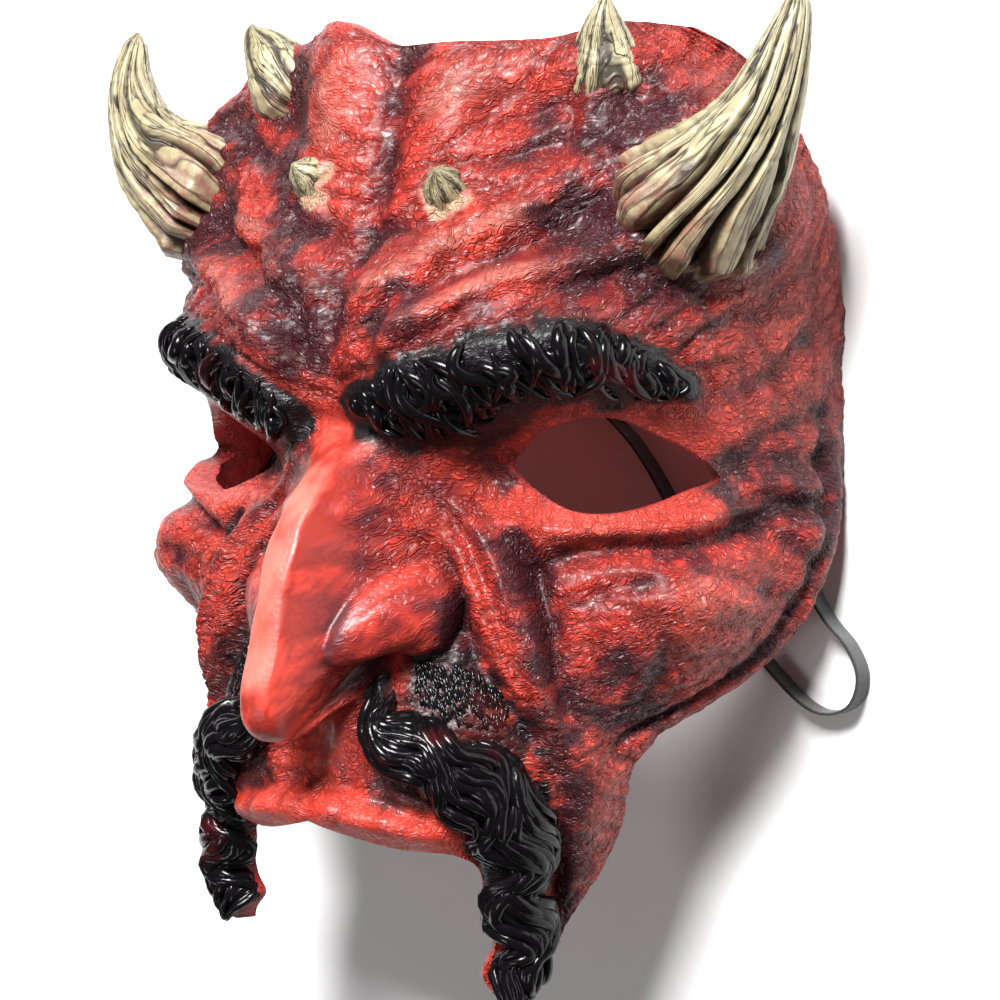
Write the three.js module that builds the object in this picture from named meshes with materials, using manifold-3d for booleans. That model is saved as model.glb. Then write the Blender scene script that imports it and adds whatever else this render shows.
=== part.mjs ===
// Moulded latex half mask of a devil with its elastic strap, lying face up.
// Millimetres. X runs to the right of the face as it is seen, Y to the forehead, Z out of the face.
// A place on the mask is (s, y): s is measured round the face from its middle line, y is its height.
import * as THREE from 'three';
import { mergeVertices } from 'three/addons/utils/BufferGeometryUtils.js';
import Module from 'manifold-3d';

const wasm = await Module();
wasm.setup();

// Driving dimensions
const WALL = 2.1;
// Farther back than any part of the mask
const BEHIND = 170;
// Places across the skin from rim to rim
const COLUMNS = 50;
// The columns in this share of the sheet keep their places, and the others spread out to the rim
const MIDDLE_SHARE = 0.44;
const MIDDLE_HALF = 36;
// [y at the start of the span, rows in it], and last the lower end
const ROW_SPANS = [[106, 10], [48, 9], [10, 8], [-25, 12], [-62, 10]];
const LOW_END = -118;
const FLUTES = 12;
const SMALL_FLUTES = 8;
const FLUTE_DEPTH = 0.16;
const HAIR_BROW = 4.4;
const HAIR_MOUSTACHE = 7.5;
const LOCK_DEPTH = 0.3;
const RED_LATEX = 0xa8232a;
const LATEX_ROUGHNESS = 0.38;
const BLACK_ELASTIC = 0x141414;
const ELASTIC_ROUGHNESS = 0.85;
const STRAP_WIDTH = 6.5;
const STRAP_THICK = 0.9;
const STRAP_STEPS = 48;

// Head form: [y, half width, depth, how far the middle line stands forward]
const HEAD = [
  [-122, 46, 50, -5], [-100, 48, 54, -3], [-85, 51, 58, 0], [-70, 57, 62, 3], [-50, 70, 68, 1],
  [-30, 81, 76, -3], [-15, 84, 80, -5], [0, 85, 80, -6], [20, 85, 82, -4], [35, 85, 82, -1],
  [50, 85, 76, -6], [65, 84, 66, -12], [80, 81, 60, -17], [95, 78, 54, -23], [105, 74, 50, -27],
  [118, 68, 46, -34],
];
// Outer rim: [y, s]
const RIM = [
  [-118, 44], [-110, 51], [-100, 56], [-85, 68], [-73, 75], [-62, 75], [-53, 80], [-47, 91], [-38, 106],
  [-28, 116], [-7, 127.5], [0, 129], [12, 129.8], [25, 131.7], [40, 132.7], [54, 125.5], [74, 113],
  [88, 97], [95, 89], [101, 80], [106, 63],
];
// How far the top rim stands above its row: [s, height]
const TOP_EDGE = [
  [-80, 0], [-62, 2], [-47, 3], [-30, 1], [-15, 5], [0, -1.5], [30, -1], [47, 3], [62, 2], [80, 0],
];
// Nose: [place along, y, z] down the crest, round the tip and back along the underside to the lip
const NOSE = [
  [22, 22, -4], [18, 17, -5.6], [11, 10, 4], [4, 2.5, 13.9], [-4, -7, 22], [-11, -17, 24], [-19, -32, 26.5],
  [-26, -44, 28.7], [-30, -50, 27.3], [-34, -55, 22], [-38, -54.5, 17.5], [-42, -50.5, 11], [-46, -48.5, 6],
  [-51, -52, 4], [-57, -57, 3.5], [-63, -63, 4.5],
];
// Nose: [place along, half width of the flat crest, half width at the cheek]
const NOSE_WIDTH = [
  [22, 2, 13], [11, 2.5, 15], [0, 3.5, 19], [-11, 4.5, 22], [-19, 6, 25], [-26, 6.5, 24], [-31, 6.5, 20],
  [-36, 7, 17], [-42, 7, 17], [-48, 6, 16], [-56, 3, 14], [-63, 2, 12],
];
// The share of the nose's height that is hollow behind
const NOSE_HOLLOW = 0.72;
const CORE_COLUMNS = 26;
const CORE_ROWS = 25;
// How far the hollow runs over the rim
const RIM_OVERLAP = 8;
// Hair bands: [s, y, half width]
const BROW = [
  [9, 22, 4], [17, 21.5, 9.5], [29, 23, 12], [42, 29.5, 11.5], [54, 32.5, 10.5], [67, 30.5, 7.5],
  [81, 26.5, 2.5],
];
const MOUSTACHE = [
  [12, -45, 3], [15, -50, 4], [22, -54, 5.5], [30, -57, 6.5], [38, -63, 8.5], [44.5, -69, 9],
  [47, -76, 9], [47, -83, 8.5], [45.5, -90, 6.5], [47, -97, 6.8], [47, -103, 6], [43, -109, 4],
  [40, -117, 2],
];
// Openings: [s, y]
const EYE = [
  [39, 8], [43, 13], [48, 17], [54, 19.2], [60, 20], [67, 19], [74, 16], [82, 12], [89, 6], [81, 3.5],
  [73, 0.5], [64, -1.6], [57, -1.9], [52, -1], [46, 2],
];
const MOUTH_EDGE = [
  [0, -73.5], [9, -74], [22, -77], [33, -79.5], [38, -82], [39, -88], [40.5, -95], [39.5, -102],
  [36.5, -108], [41, -116], [41, -130],
];
// Middle line of the strap, standing on its edge: [x, y, height above the rim's lowest point]. It starts
// on the inside of the right temple, bows out under the cheek and ends on the inside of the left temple.
const STRAP = [
  [81, -3, 8.6], [81, -10, 8.2], [80.8, -17, 6.4], [81.4, -23, 4], [85, -28.5, 3.5], [90.5, -34, 3.5],
  [93.5, -41, 3.5], [91, -48, 3.5], [83, -50, 3.5], [69, -40, 3.5], [50, -16, 3.5], [28, 14, 3.5],
  [2, 29, 3.5], [-28, 27, 3.5], [-56, 19, 3.5], [-73, 13, 3.7], [-79.4, 6, 5], [-80.9, -2, 7],
  [-81, -12, 8.4],
];
// Horns: [x, y, z, radius] from foot to tip, for the side at +X and for the one at -X
const BIG_HORN = {
  right: [[56, 52, -46, 7], [69, 63, -39, 17], [79.5, 76, -37, 13.5], [86, 88, -37, 9.5], [91, 101, -38, 6.5],
    [94.5, 110.5, -39.5, 3.2], [95, 113, -39.7, 0.4]],
  left: [[56, 57, -46, 7], [69, 67, -39, 16], [79.5, 79, -37, 13.5], [86, 90, -37, 9.5], [91, 102, -38, 6.5],
    [94.5, 110.5, -39.5, 3.2], [95, 113, -39.7, 0.4]],
};
const SMALL_HORN = {
  right: [[39, 84, -46, 5], [43.5, 94, -39, 10.5], [47, 105, -36, 6.6], [49.5, 112.5, -34.5, 2.6],
    [50, 114.6, -34.3, 0.3]],
  left: [[39, 86, -46, 5], [43.5, 96, -39, 10.5], [47, 106, -36, 6.6], [49.5, 112.5, -34.5, 2.6],
    [50, 114.6, -34.3, 0.3]],
};
const NUB = {
  right: [[21, 65, -28, 8], [23.5, 69, -18, 7.5], [25, 72.5, -12.5, 4.5], [25.7, 74.5, -9.5, 0.8]],
  left: [[12, 70, -26, 8], [14, 73, -16.5, 7], [15, 75, -11.5, 4.3], [15.5, 76.5, -8.8, 0.8]],
};
// The left tail of the moustache is shorter, turned and pushed outwards
const LEFT_TAIL = { from: -76, shorter: 0.7, turn: 0.55, out: 4, x: -37, z: -17 };

function smooth(from, to, x) {
  const t = THREE.MathUtils.clamp((x - from) / (to - from), 0, 1);
  return t * t * (3 - 2 * t);
}

// A smooth curve through rows of [x, values...] that never overshoots them; gives an array of values.
function curve(rows) {
  const knots = [...rows].sort((a, b) => a[0] - b[0]);
  const last = knots.length - 1;
  const slopes = knots.map((row, i) => row.slice(1).map((value, c) => {
    const before = i > 0 ? (value - knots[i - 1][c + 1]) / (row[0] - knots[i - 1][0]) : null;
    const after = i < last ? (knots[i + 1][c + 1] - value) / (knots[i + 1][0] - row[0]) : null;
    if (before === null) return after;
    if (after === null) return before;
    return before * after > 0 ? (2 * before * after) / (before + after) : 0;
  }));
  return (at) => {
    const x = THREE.MathUtils.clamp(at, knots[0][0], knots[last][0]);
    let i = 0;
    while (i < last - 1 && knots[i + 1][0] <= x) i += 1;
    const h = knots[i + 1][0] - knots[i][0];
    const t = (x - knots[i][0]) / h;
    return knots[i].slice(1).map((a, c) => {
      const b = knots[i + 1][c + 1];
      const ma = slopes[i][c] * h;
      const mb = slopes[i + 1][c] * h;
      return a + t * (ma + t * (3 * (b - a) - 2 * ma - mb + t * (2 * (a - b) + ma + mb)));
    });
  };
}

const head = curve(HEAD);
const rim = curve(RIM);
const topEdge = curve(TOP_EDGE);
const noseLine = curve(NOSE);
const noseWidth = curve(NOSE_WIDTH);

// Nearest place on a line of [s, y, ...]: distance, side (+ left of travel) and the share of the way along
function nearest(s, y, line) {
  let total = 0;
  const steps = line.slice(1).map((b, i) => Math.hypot(b[0] - line[i][0], b[1] - line[i][1]));
  const length = steps.reduce((a, b) => a + b, 0);
  let best = { distance: Infinity, side: 0, along: 0, at: 0 };
  steps.forEach((step, i) => {
    const [as, ay] = line[i];
    const ds = line[i + 1][0] - as;
    const dy = line[i + 1][1] - ay;
    const t = THREE.MathUtils.clamp(((s - as) * ds + (y - ay) * dy) / (step * step), 0, 1);
    const offS = s - as - t * ds;
    const offY = y - ay - t * dy;
    const distance = Math.hypot(offS, offY);
    if (distance < best.distance) {
      const side = Math.sign(ds * offY - dy * offS);
      best = { distance, side, along: (total + t * step) / length, at: i + t };
    }
    total += step;
  });
  return best;
}

function bump(s, y, [cs, cy], [rs, ry], height) {
  return height * Math.exp(-(((s - cs) / rs) ** 2) - ((y - cy) / ry) ** 2);
}

// A ridge (height above 0) or a crease (below 0) along a line, dying away at its ends
function stroke(s, y, line, height, width) {
  const { distance, along } = nearest(s, y, line);
  const fade = 0.35 + 0.65 * smooth(0, 0.18, along) * smooth(0, 0.18, 1 - along);
  return height * fade * Math.exp(-((distance / width) ** 2));
}

// Rounded height of a hair band whose half width is the third value of its points
function hairBand(s, y, line, height) {
  const { distance, side, along, at } = nearest(s, y, line);
  const i = Math.min(Math.floor(at), line.length - 2);
  const half = THREE.MathUtils.lerp(line[i][2], line[i + 1][2], at - i);
  const across = (side * distance) / half;
  const locks = 1 + LOCK_DEPTH * Math.sin(2 * Math.PI * (along * line.length - 0.4 * across));
  return height * locks * Math.sqrt(Math.max(0, 1 - across * across));
}

// Flesh over the head form: forehead lobes and groove, brow bones, sockets, lids, cheeks, folds, lip
function flesh(s, y) {
  const q = Math.abs(s);
  let h = bump(q, y, [13, 94], [9, 20], 4.5) + bump(q, y, [12, 52], [9, 18], 3);
  h += bump(s, y, [-14, 108], [11, 14], 5);
  h += bump(q, y, [42, 38], [30, 13], 7.5) + bump(q, y, [78, 46], [22, 14], 1);
  h += bump(q, y, [16, 30], [12, 12], 4);
  h += stroke(q, y, [[3, 47], [14, 51], [23, 59], [33, 64], [44, 68]], 4.5, 5);
  h += stroke(q, y, [[11, 38], [23, 43], [35, 51], [48, 54], [60, 57]], 3.5, 4.5);
  h += stroke(q, y, [[8, 33], [13, 41], [16, 48]], -4, 3);
  h -= bump(q, y, [33, 88], [9, 7], 4);
  h += bump(q, y, [66, 90], [9, 8], 7) + bump(q, y, [57, 80], [8, 7], 3);
  h -= bump(q, y, [36, 6], [13, 10], 9) + bump(q, y, [58, 8], [22, 10], 4);
  h += stroke(q, y, [[38, -5], [48, -9], [60, -8], [78, -5], [92, -1]], 4, 5);
  h += stroke(q, y, [[38, -12], [47, -17], [59, -15], [77, -10], [96, -4], [122, 1]], -3, 3.5);
  h += stroke(q, y, [[88, 6], [104, 10], [124, 9]], -3, 3.5);
  h += bump(q, y, [80, -22], [21, 14], 13) + bump(q, y, [114, -6], [9, 18], 5);
  h += stroke(q, y, [[34, -8], [40, -24], [48, -40], [56, -53], [64, -64], [65, -80]], 6, 7);
  h += stroke(q, y, [[29, -19], [34, -32], [45, -48], [54, -57]], -5, 3.5);
  h += stroke(q, y, [[49, -12], [52, -25], [58, -40], [66, -53]], -4, 3.5);
  h += stroke(q, y, [[57, -66], [58, -82], [54, -97]], -3, 3);
  h += bump(q, y, [76, 66], [24, 18], 6) + bump(q, y, [44, 100], [13, 12], 4);
  h += bump(s, y, [25, 69], [9, 9], 1.5) + bump(s, y, [-15, 73], [9, 9], 1.5);
  h += bump(q, y, [0, -71], [40, 6], 4) + bump(q, y, [24, -56], [16, 12], 3);
  h -= bump(q, y, [0, -59], [4, 7], 2);
  return h;
}

// The plain head form: a point on it and the way out of it
function form(s, y) {
  const at = s < 0 && y < LEFT_TAIL.from ? LEFT_TAIL.from + (y - LEFT_TAIL.from) * LEFT_TAIL.shorter : y;
  const [a, b, z] = head(at);
  const angle = s / ((a + b) / 2);
  const out = new THREE.Vector3(b * Math.sin(angle), 0, a * Math.cos(angle)).normalize();
  return { p: new THREE.Vector3(a * Math.sin(angle), at, z - b * (1 - Math.cos(angle))), out, z };
}

function turnTail(p, s, y) {
  const share = smooth(LEFT_TAIL.from, LEFT_TAIL.from - 12, y) * smooth(-10, -30, s);
  const turn = LEFT_TAIL.turn * share;
  const x = p.x - LEFT_TAIL.x;
  const depth = p.z - LEFT_TAIL.z;
  p.x = LEFT_TAIL.x + x * Math.cos(turn) + depth * Math.sin(turn) - LEFT_TAIL.out * share;
  p.z = LEFT_TAIL.z - x * Math.sin(turn) + depth * Math.cos(turn);
  return p;
}

// How far a place takes part in the nose, and how little the flesh counts there
function noseShare(s, y, thinner) {
  const q = Math.abs(s);
  const on = smooth(24, 17, y) * smooth(-66, -58, y);
  const [crest, cheek] = noseWidth(y);
  const slope = 0.94 * (1 - smooth(0, 1, (q - crest) / (cheek - thinner - crest)));
  const share = on * (q < crest ? 1 - 0.06 * (q / crest) ** 2 : slope);
  return { share, calm: 1 - on * (1 - smooth(cheek * 0.7, cheek * 1.1, q)) };
}

function addNose(p, out, s, y, z, share, wingHeight) {
  const [noseY, noseZ] = noseLine(y);
  p.y += (noseY - y) * share;
  p.z += (noseZ - z) * share;
  const wing = bump(Math.abs(s), y, [20, -28], [10, 9], wingHeight);
  p.addScaledVector(out, wing * 0.8);
  p.x += Math.sign(s) * wing * 0.35;
}

// A point of the outer skin
function skin(s, y) {
  const q = Math.abs(s);
  const { p, out, z } = form(s, y);
  const { share, calm } = noseShare(s, y, 0);
  const hair = hairBand(q, y, BROW, HAIR_BROW) + hairBand(q, y, MOUSTACHE, HAIR_MOUSTACHE);
  p.addScaledVector(out, (flesh(s, y) + hair) * calm);
  addNose(p, out, s, y, z, share, 10);
  const nostril = bump(q, y, [12, -42], [6, 3.5], 1);
  p.y += nostril * 7;
  p.z -= nostril * 3;
  return turnTail(p, s, y);
}

// A point of the smoother inside, a wall's thickness behind the lowest flesh near it
function inside(s, y, extra) {
  const { p, out, z } = form(s, y);
  const near = [-3.2, -1.6, 0, 1.6, 3.2];
  const heights = near.flatMap((ds) => near.map((dy) => (
    flesh(s + ds, y + dy) * noseShare(s + ds, y + dy, 0).calm)));
  const root = bump(s, y, [0, 19], [16, 8], 3.5);
  p.addScaledVector(out, Math.min(...heights) - root - WALL - extra);
  addNose(p, out, s, y, z, noseShare(s, y, 2 * WALL).share * NOSE_HOLLOW, 5);
  return turnTail(p, s, y);
}

// Row heights from the top rim down, closer together where the nose turns under
const rows = ROW_SPANS.flatMap(([from, count], i) => {
  const to = i + 1 < ROW_SPANS.length ? ROW_SPANS[i + 1][0] : LOW_END;
  return Array.from({ length: count }, (_, k) => from + ((to - from) * k) / count);
}).concat(LOW_END);

// Grid place (-1 to 1 across, 0 to 1 down) to (s, y), closer together at the nose; past is how far
// the grid runs over the rim
function place(across, down, past = 0) {
  const row = down * (rows.length - 1);
  const i = Math.min(Math.floor(row), rows.length - 2);
  const y = THREE.MathUtils.lerp(rows[i], rows[i + 1], row - i);
  const q = Math.abs(across);
  const outer = (q - MIDDLE_SHARE) / (1 - MIDDLE_SHARE);
  const edge = rim(y)[0] + past;
  const s = outer < 0 ? (MIDDLE_HALF * q) / MIDDLE_SHARE : MIDDLE_HALF + (edge - MIDDLE_HALF) * outer;
  const beyond = past * (Number(down === 0) - Number(down === 1));
  const lift = topEdge(s * Math.sign(across))[0] * smooth(84, 106, y);
  return [Math.sign(across) * s, y + lift + beyond];
}

function merged(geometry) {
  geometry.deleteAttribute('normal');
  geometry.deleteAttribute('uv');
  return mergeVertices(geometry, 1e-4);
}

function moved(geometry, move) {
  const shape = merged(geometry);
  const points = shape.getAttribute('position');
  const p = new THREE.Vector3();
  for (let i = 0; i < points.count; i += 1) {
    p.copy(move(p.fromBufferAttribute(points, i)));
    points.setXYZ(i, p.x, p.y, p.z);
  }
  return shape;
}

// Splits each four-sided face of a box grid along its shorter diagonal
function shorterDiagonals(geometry) {
  const points = geometry.getAttribute('position');
  const corners = geometry.index.array;
  const length = (i, j) => Math.hypot(
    points.getX(i) - points.getX(j), points.getY(i) - points.getY(j), points.getZ(i) - points.getZ(j));
  for (let i = 0; i < corners.length; i += 6) {
    const [a, b, d] = corners.subarray(i, i + 3);
    const c = corners[i + 4];
    if (length(a, c) < length(b, d)) corners.set([a, b, c, a, c, d], i);
  }
  return geometry;
}

function solid(geometry) {
  return new wasm.Manifold(new wasm.Mesh({
    numProp: 3,
    vertProperties: new Float32Array(geometry.getAttribute('position').array),
    triVerts: new Uint32Array(geometry.index.array),
  }));
}

function toGeometry(body) {
  const mesh = body.getMesh();
  const geometry = new THREE.BufferGeometry();
  geometry.setAttribute('position', new THREE.BufferAttribute(new Float32Array(mesh.vertProperties), 3));
  geometry.setIndex(new THREE.BufferAttribute(new Uint32Array(mesh.triVerts), 1));
  return geometry;
}

// The mask without its hollow: the skin in front, and behind it straight across from rim to rim
function block() {
  const slab = new THREE.BoxGeometry(2, 1, 2, COLUMNS, rows.length - 1, 1);
  return solid(shorterDiagonals(moved(slab, (p) => {
    const [s, y] = place(p.x, 0.5 - p.y);
    if (p.z > 0) return skin(s, y);
    const [edge] = place(1, 0.5 - p.y);
    const [left, right] = [inside(-edge, y, 3), inside(edge, y, 3)];
    return left.lerp(right, (s / edge + 1) / 2);
  })));
}

// What the mask is hollowed by, open at the back and past the whole rim
function hollow(extra) {
  const slab = new THREE.BoxGeometry(2, 1, 2, CORE_COLUMNS, CORE_ROWS, 1);
  return solid(shorterDiagonals(moved(slab, (p) => {
    const point = inside(...place(p.x, 0.5 - p.y, RIM_OVERLAP), extra);
    if (p.z < 0) point.z = -BEHIND;
    return point;
  })));
}

// A plug through the wall with an outline in (s, y)
function plug(outline, reach) {
  const shape = new THREE.Shape(outline.map(([s, y]) => new THREE.Vector2(s, y)));
  const prism = new THREE.ExtrudeGeometry(shape, { depth: 1, steps: 1, bevelEnabled: false });
  return solid(moved(prism, ({ x: s, y, z: side }) => {
    const { p, out } = form(s, y);
    return turnTail(p.addScaledVector(out, reach * (2 * side - 1)), s, y);
  }));
}

// A tapering horn on a curved middle line, with a ridge and a groove in turn round it that spread into
// toes at its foot
function horn(line, side, rings, flutes, depth, toes) {
  const points = line.map(([x, y, z]) => new THREE.Vector3(x * side, y, z));
  const path = new THREE.CatmullRomCurve3(points, false, 'centripetal');
  const radius = (t) => {
    const at = t * (line.length - 1);
    const i = Math.min(Math.floor(at), line.length - 2);
    return THREE.MathUtils.lerp(line[i][3], line[i + 1][3], at - i);
  };
  const shaft = new THREE.CylinderGeometry(1, 1, 1, flutes * 2, rings);
  return solid(moved(shaft, (p) => {
    const t = p.y + 0.5;
    const middle = path.getPoint(t);
    const along = path.getTangent(t);
    const across = new THREE.Vector3().crossVectors(along, new THREE.Vector3(0, 0, 1)).normalize();
    const up = new THREE.Vector3().crossVectors(across, along);
    const around = Math.atan2(p.z, p.x);
    const share = Math.hypot(p.x, p.z);
    const ridge = Math.cos(around * flutes);
    const swell = 1 + ridge * (depth * Math.sqrt(1 - t) * 0.6 + toes * (1 - smooth(0, 0.3, t)) * 0.5);
    const r = radius(t) * share * swell;
    return middle.addScaledVector(across, r * Math.cos(around)).addScaledVector(up, r * Math.sin(around));
  }));
}

function maskShell() {
  const mouth = [...MOUTH_EDGE, ...MOUTH_EDGE.slice(1).reverse().map(([s, y]) => [-s, y])];
  let body = block().subtract(hollow(0)).subtract(plug(mouth, 45));
  const behind = hollow(-WALL / 2);
  for (const [name, side] of [['right', 1], ['left', -1]]) {
    const big = horn(BIG_HORN[name], side, 11, FLUTES, FLUTE_DEPTH, 0.3);
    const small = horn(SMALL_HORN[name], side, 7, SMALL_FLUTES, FLUTE_DEPTH, 0.3);
    const nub = horn(NUB[name], side, 4, 6, 0.1, 0);
    for (const piece of [big, small, nub]) {
      body = body.add(piece.subtract(behind));
    }
    body = body.subtract(plug(EYE.map(([s, y]) => [s * side, y]), 22));
  }
  return body;
}

// The elastic band, its width upright as far as its slope allows
function strapBand() {
  const points = STRAP.map((point) => new THREE.Vector3(...point));
  const path = new THREE.CatmullRomCurve3(points, false, 'centripetal');
  const band = new THREE.BoxGeometry(1, STRAP_WIDTH, STRAP_THICK, STRAP_STEPS, 1, 1);
  return moved(band, (p) => {
    const middle = path.getPointAt(p.x + 0.5);
    const along = path.getTangentAt(p.x + 0.5);
    const wide = new THREE.Vector3(0, 0, 1).addScaledVector(along, -along.z).normalize();
    const thick = new THREE.Vector3().crossVectors(along, wide);
    return middle.addScaledVector(wide, p.y).addScaledVector(thick, p.z);
  });
}

function named(name, geometry, color, roughness) {
  const material = new THREE.MeshStandardMaterial({ name, color, roughness, metalness: 0 });
  const mesh = new THREE.Mesh(geometry, material);
  mesh.name = name;
  geometry.computeVertexNormals();
  return mesh;
}

const mask = named('mask_shell', toGeometry(maskShell()), RED_LATEX, LATEX_ROUGHNESS);
const strap = named('strap', strapBand(), BLACK_ELASTIC, ELASTIC_ROUGHNESS);

// The rim lies on the ground, and the middle of the mask's length is over the origin
mask.geometry.computeBoundingBox();
const { min, max } = mask.geometry.boundingBox;
mask.position.z = -min.z;
const group = new THREE.Group();
group.add(mask, strap);
group.position.set(-(min.x + max.x) / 2, -(min.y + max.y) / 2, 0);

export default group;
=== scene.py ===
# %% [markdown]
# # A moulded latex devil mask
#
# The real object is one thin skin of latex, poured into a plaster mould, peeled out, trimmed along
# its rim and painted, with a black elastic strap. This lesson builds it in the same order: the face,
# the horns, the hair, the strap, and then the paint. All sizes are in millimetres in the tables and
# become metres when a mesh is made.

import math

import bpy
import bmesh
import numpy as np
from mathutils import Matrix, Vector
from mathutils.kdtree import KDTree


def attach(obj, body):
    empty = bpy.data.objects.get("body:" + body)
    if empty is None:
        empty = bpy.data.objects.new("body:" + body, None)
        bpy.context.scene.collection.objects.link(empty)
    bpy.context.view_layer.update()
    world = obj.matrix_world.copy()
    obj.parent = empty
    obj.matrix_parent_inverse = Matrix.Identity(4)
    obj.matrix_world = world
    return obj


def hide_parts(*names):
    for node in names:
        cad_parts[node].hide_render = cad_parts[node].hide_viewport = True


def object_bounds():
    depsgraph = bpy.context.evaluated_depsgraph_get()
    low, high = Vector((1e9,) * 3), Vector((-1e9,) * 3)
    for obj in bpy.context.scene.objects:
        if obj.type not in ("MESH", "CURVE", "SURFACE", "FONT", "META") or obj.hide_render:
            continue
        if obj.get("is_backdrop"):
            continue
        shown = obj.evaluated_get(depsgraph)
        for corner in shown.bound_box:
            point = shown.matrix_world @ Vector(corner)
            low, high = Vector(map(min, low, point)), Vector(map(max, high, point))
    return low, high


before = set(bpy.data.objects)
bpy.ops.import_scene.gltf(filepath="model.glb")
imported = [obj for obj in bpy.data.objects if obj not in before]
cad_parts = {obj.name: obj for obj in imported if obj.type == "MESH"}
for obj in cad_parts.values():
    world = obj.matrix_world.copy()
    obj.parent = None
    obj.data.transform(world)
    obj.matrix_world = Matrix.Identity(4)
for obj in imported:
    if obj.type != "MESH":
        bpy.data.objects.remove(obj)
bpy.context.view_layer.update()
MM = 0.001
# The face's own middle, in the frame of the part lying on its rim
PLACE = Vector((-0.0154, 1.6628, 85.8013))

# %% [markdown]
# ## Camera
#
# A portrait lens from half a metre away flattens the face a little, as in the shop picture. The
# mask lies on its rim, so a camera in front of the face looks down on the floor it lies on.
# The camera is placed by its three axes: to the right, up, and back towards the lens.

# %% Point the camera at the face
YAW, PITCH, ROLL, PAN = (math.radians(a) for a in (38, 4, 0.5, 3.663))
FOCAL_LENGTH, SENSOR_WIDTH, CAMERA_AWAY = 95.04, 36, 600
back = Vector((math.sin(YAW) * math.cos(PITCH), math.sin(PITCH), math.cos(YAW) * math.cos(PITCH)))
right = Vector((math.cos(YAW), 0, -math.sin(YAW)))
up = back.cross(right)
axes = Matrix((right, up, back)).transposed().to_4x4()
lens = bpy.data.cameras.new("camera")
lens.lens = FOCAL_LENGTH
lens.sensor_width = SENSOR_WIDTH
camera = bpy.data.objects.new("camera", lens)
spot = Matrix.Translation((PLACE + CAMERA_AWAY * back) * MM)
camera.matrix_world = spot @ axes @ Matrix.Rotation(ROLL, 4, "Z") @ Matrix.Rotation(-PAN, 4, "Y")
bpy.context.collection.objects.link(camera)
bpy.context.scene.camera = camera
print("camera at", [round(v, 3) for v in camera.matrix_world.translation])

# %% [markdown]
# ## Strap
#
# The strap is 6.5 mm flat elastic. Each end is held inside a temple, and the band stands on its edge
# on the floor between them, because it is longer than the mask is wide. Its line is a curve
# through a few points. A box is stretched along that line: it gets many cuts along its length, and
# every cut is moved to its place on the curve and turned square to it.


# %% A smooth line through points
def unit(rows):
    return rows / np.linalg.norm(rows, axis=-1, keepdims=True)


def line_through(points, steps):
    """Places at even steps of the count of points, on a centripetal curve through them."""
    knots = np.array(points, float)
    knots = np.vstack([2 * knots[0] - knots[1], knots, 2 * knots[-1] - knots[-2]])
    spans = len(points) - 1
    out = []
    for t in np.linspace(0, spans, steps + 1):
        i = min(int(t), spans - 1)
        p0, p1, p2, p3 = knots[i : i + 4]
        d0, d1, d2 = (max(np.linalg.norm(b - a) ** 0.5, 1e-4) for a, b in ((p0, p1), (p1, p2), (p2, p3)))
        t1 = ((p1 - p0) / d0 - (p2 - p0) / (d0 + d1) + (p2 - p1) / d1) * d1
        t2 = ((p2 - p1) / d1 - (p3 - p1) / (d1 + d2) + (p3 - p2) / d2) * d1
        u = t - i
        out.append(
            p1 + t1 * u + (3 * (p2 - p1) - 2 * t1 - t2) * u**2 + (2 * (p1 - p2) + t1 + t2) * u**3
        )
    return np.array(out)


def evenly(line, steps):
    """The same line at even distances, and its direction at each place."""
    way = np.concatenate([[0], np.cumsum(np.linalg.norm(np.diff(line, axis=0), axis=1))])
    at = np.linspace(0, way[-1], steps + 1)
    places = np.stack([np.interp(at, way, line[:, k]) for k in range(3)], 1)
    return places, unit(np.gradient(places, axis=0)), way[-1]


# %% Settings of the strap
STRAP_WIDTH = 6.5
STRAP_THICK = 0.9
STRAP_STEPS = 160
STRAP_ROWS = 13
STRAP_RIBS = 6
STRAP = [
    (81, -3, 8.6), (81, -10, 8.2), (80.8, -17, 6.4), (81.4, -23, 4), (85, -28.5, 3.5), (90.5, -34, 3.5),
    (93.5, -41, 3.5), (91, -48, 3.5), (83, -50, 3.5), (69, -40, 3.5), (50, -16, 3.5), (28, 14, 3.5),
    (2, 29, 3.5), (-28, 27, 3.5), (-56, 19, 3.5), (-73, 13, 3.7), (-79.4, 6, 5), (-80.9, -2, 7),
    (-81, -12, 8.4),
]
fine_line = line_through([(x + PLACE.x, y + PLACE.y, z) for x, y, z in STRAP], 400)
strap_line, strap_way, strap_length = evenly(fine_line, STRAP_STEPS)
print(f"strap {strap_length:.1f} mm long")


# %% Bend a box along the strap's line
def finished(name, bm):
    """The object made of a bmesh, which is used up."""
    mesh = bpy.data.meshes.new(name)
    bm.to_mesh(mesh)
    bm.free()
    piece = bpy.data.objects.new(name, mesh)
    bpy.context.collection.objects.link(piece)
    return piece


def triangles(pieces):
    return sum(len(p.vertices) - 2 for piece in pieces for p in piece.data.polygons)


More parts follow.
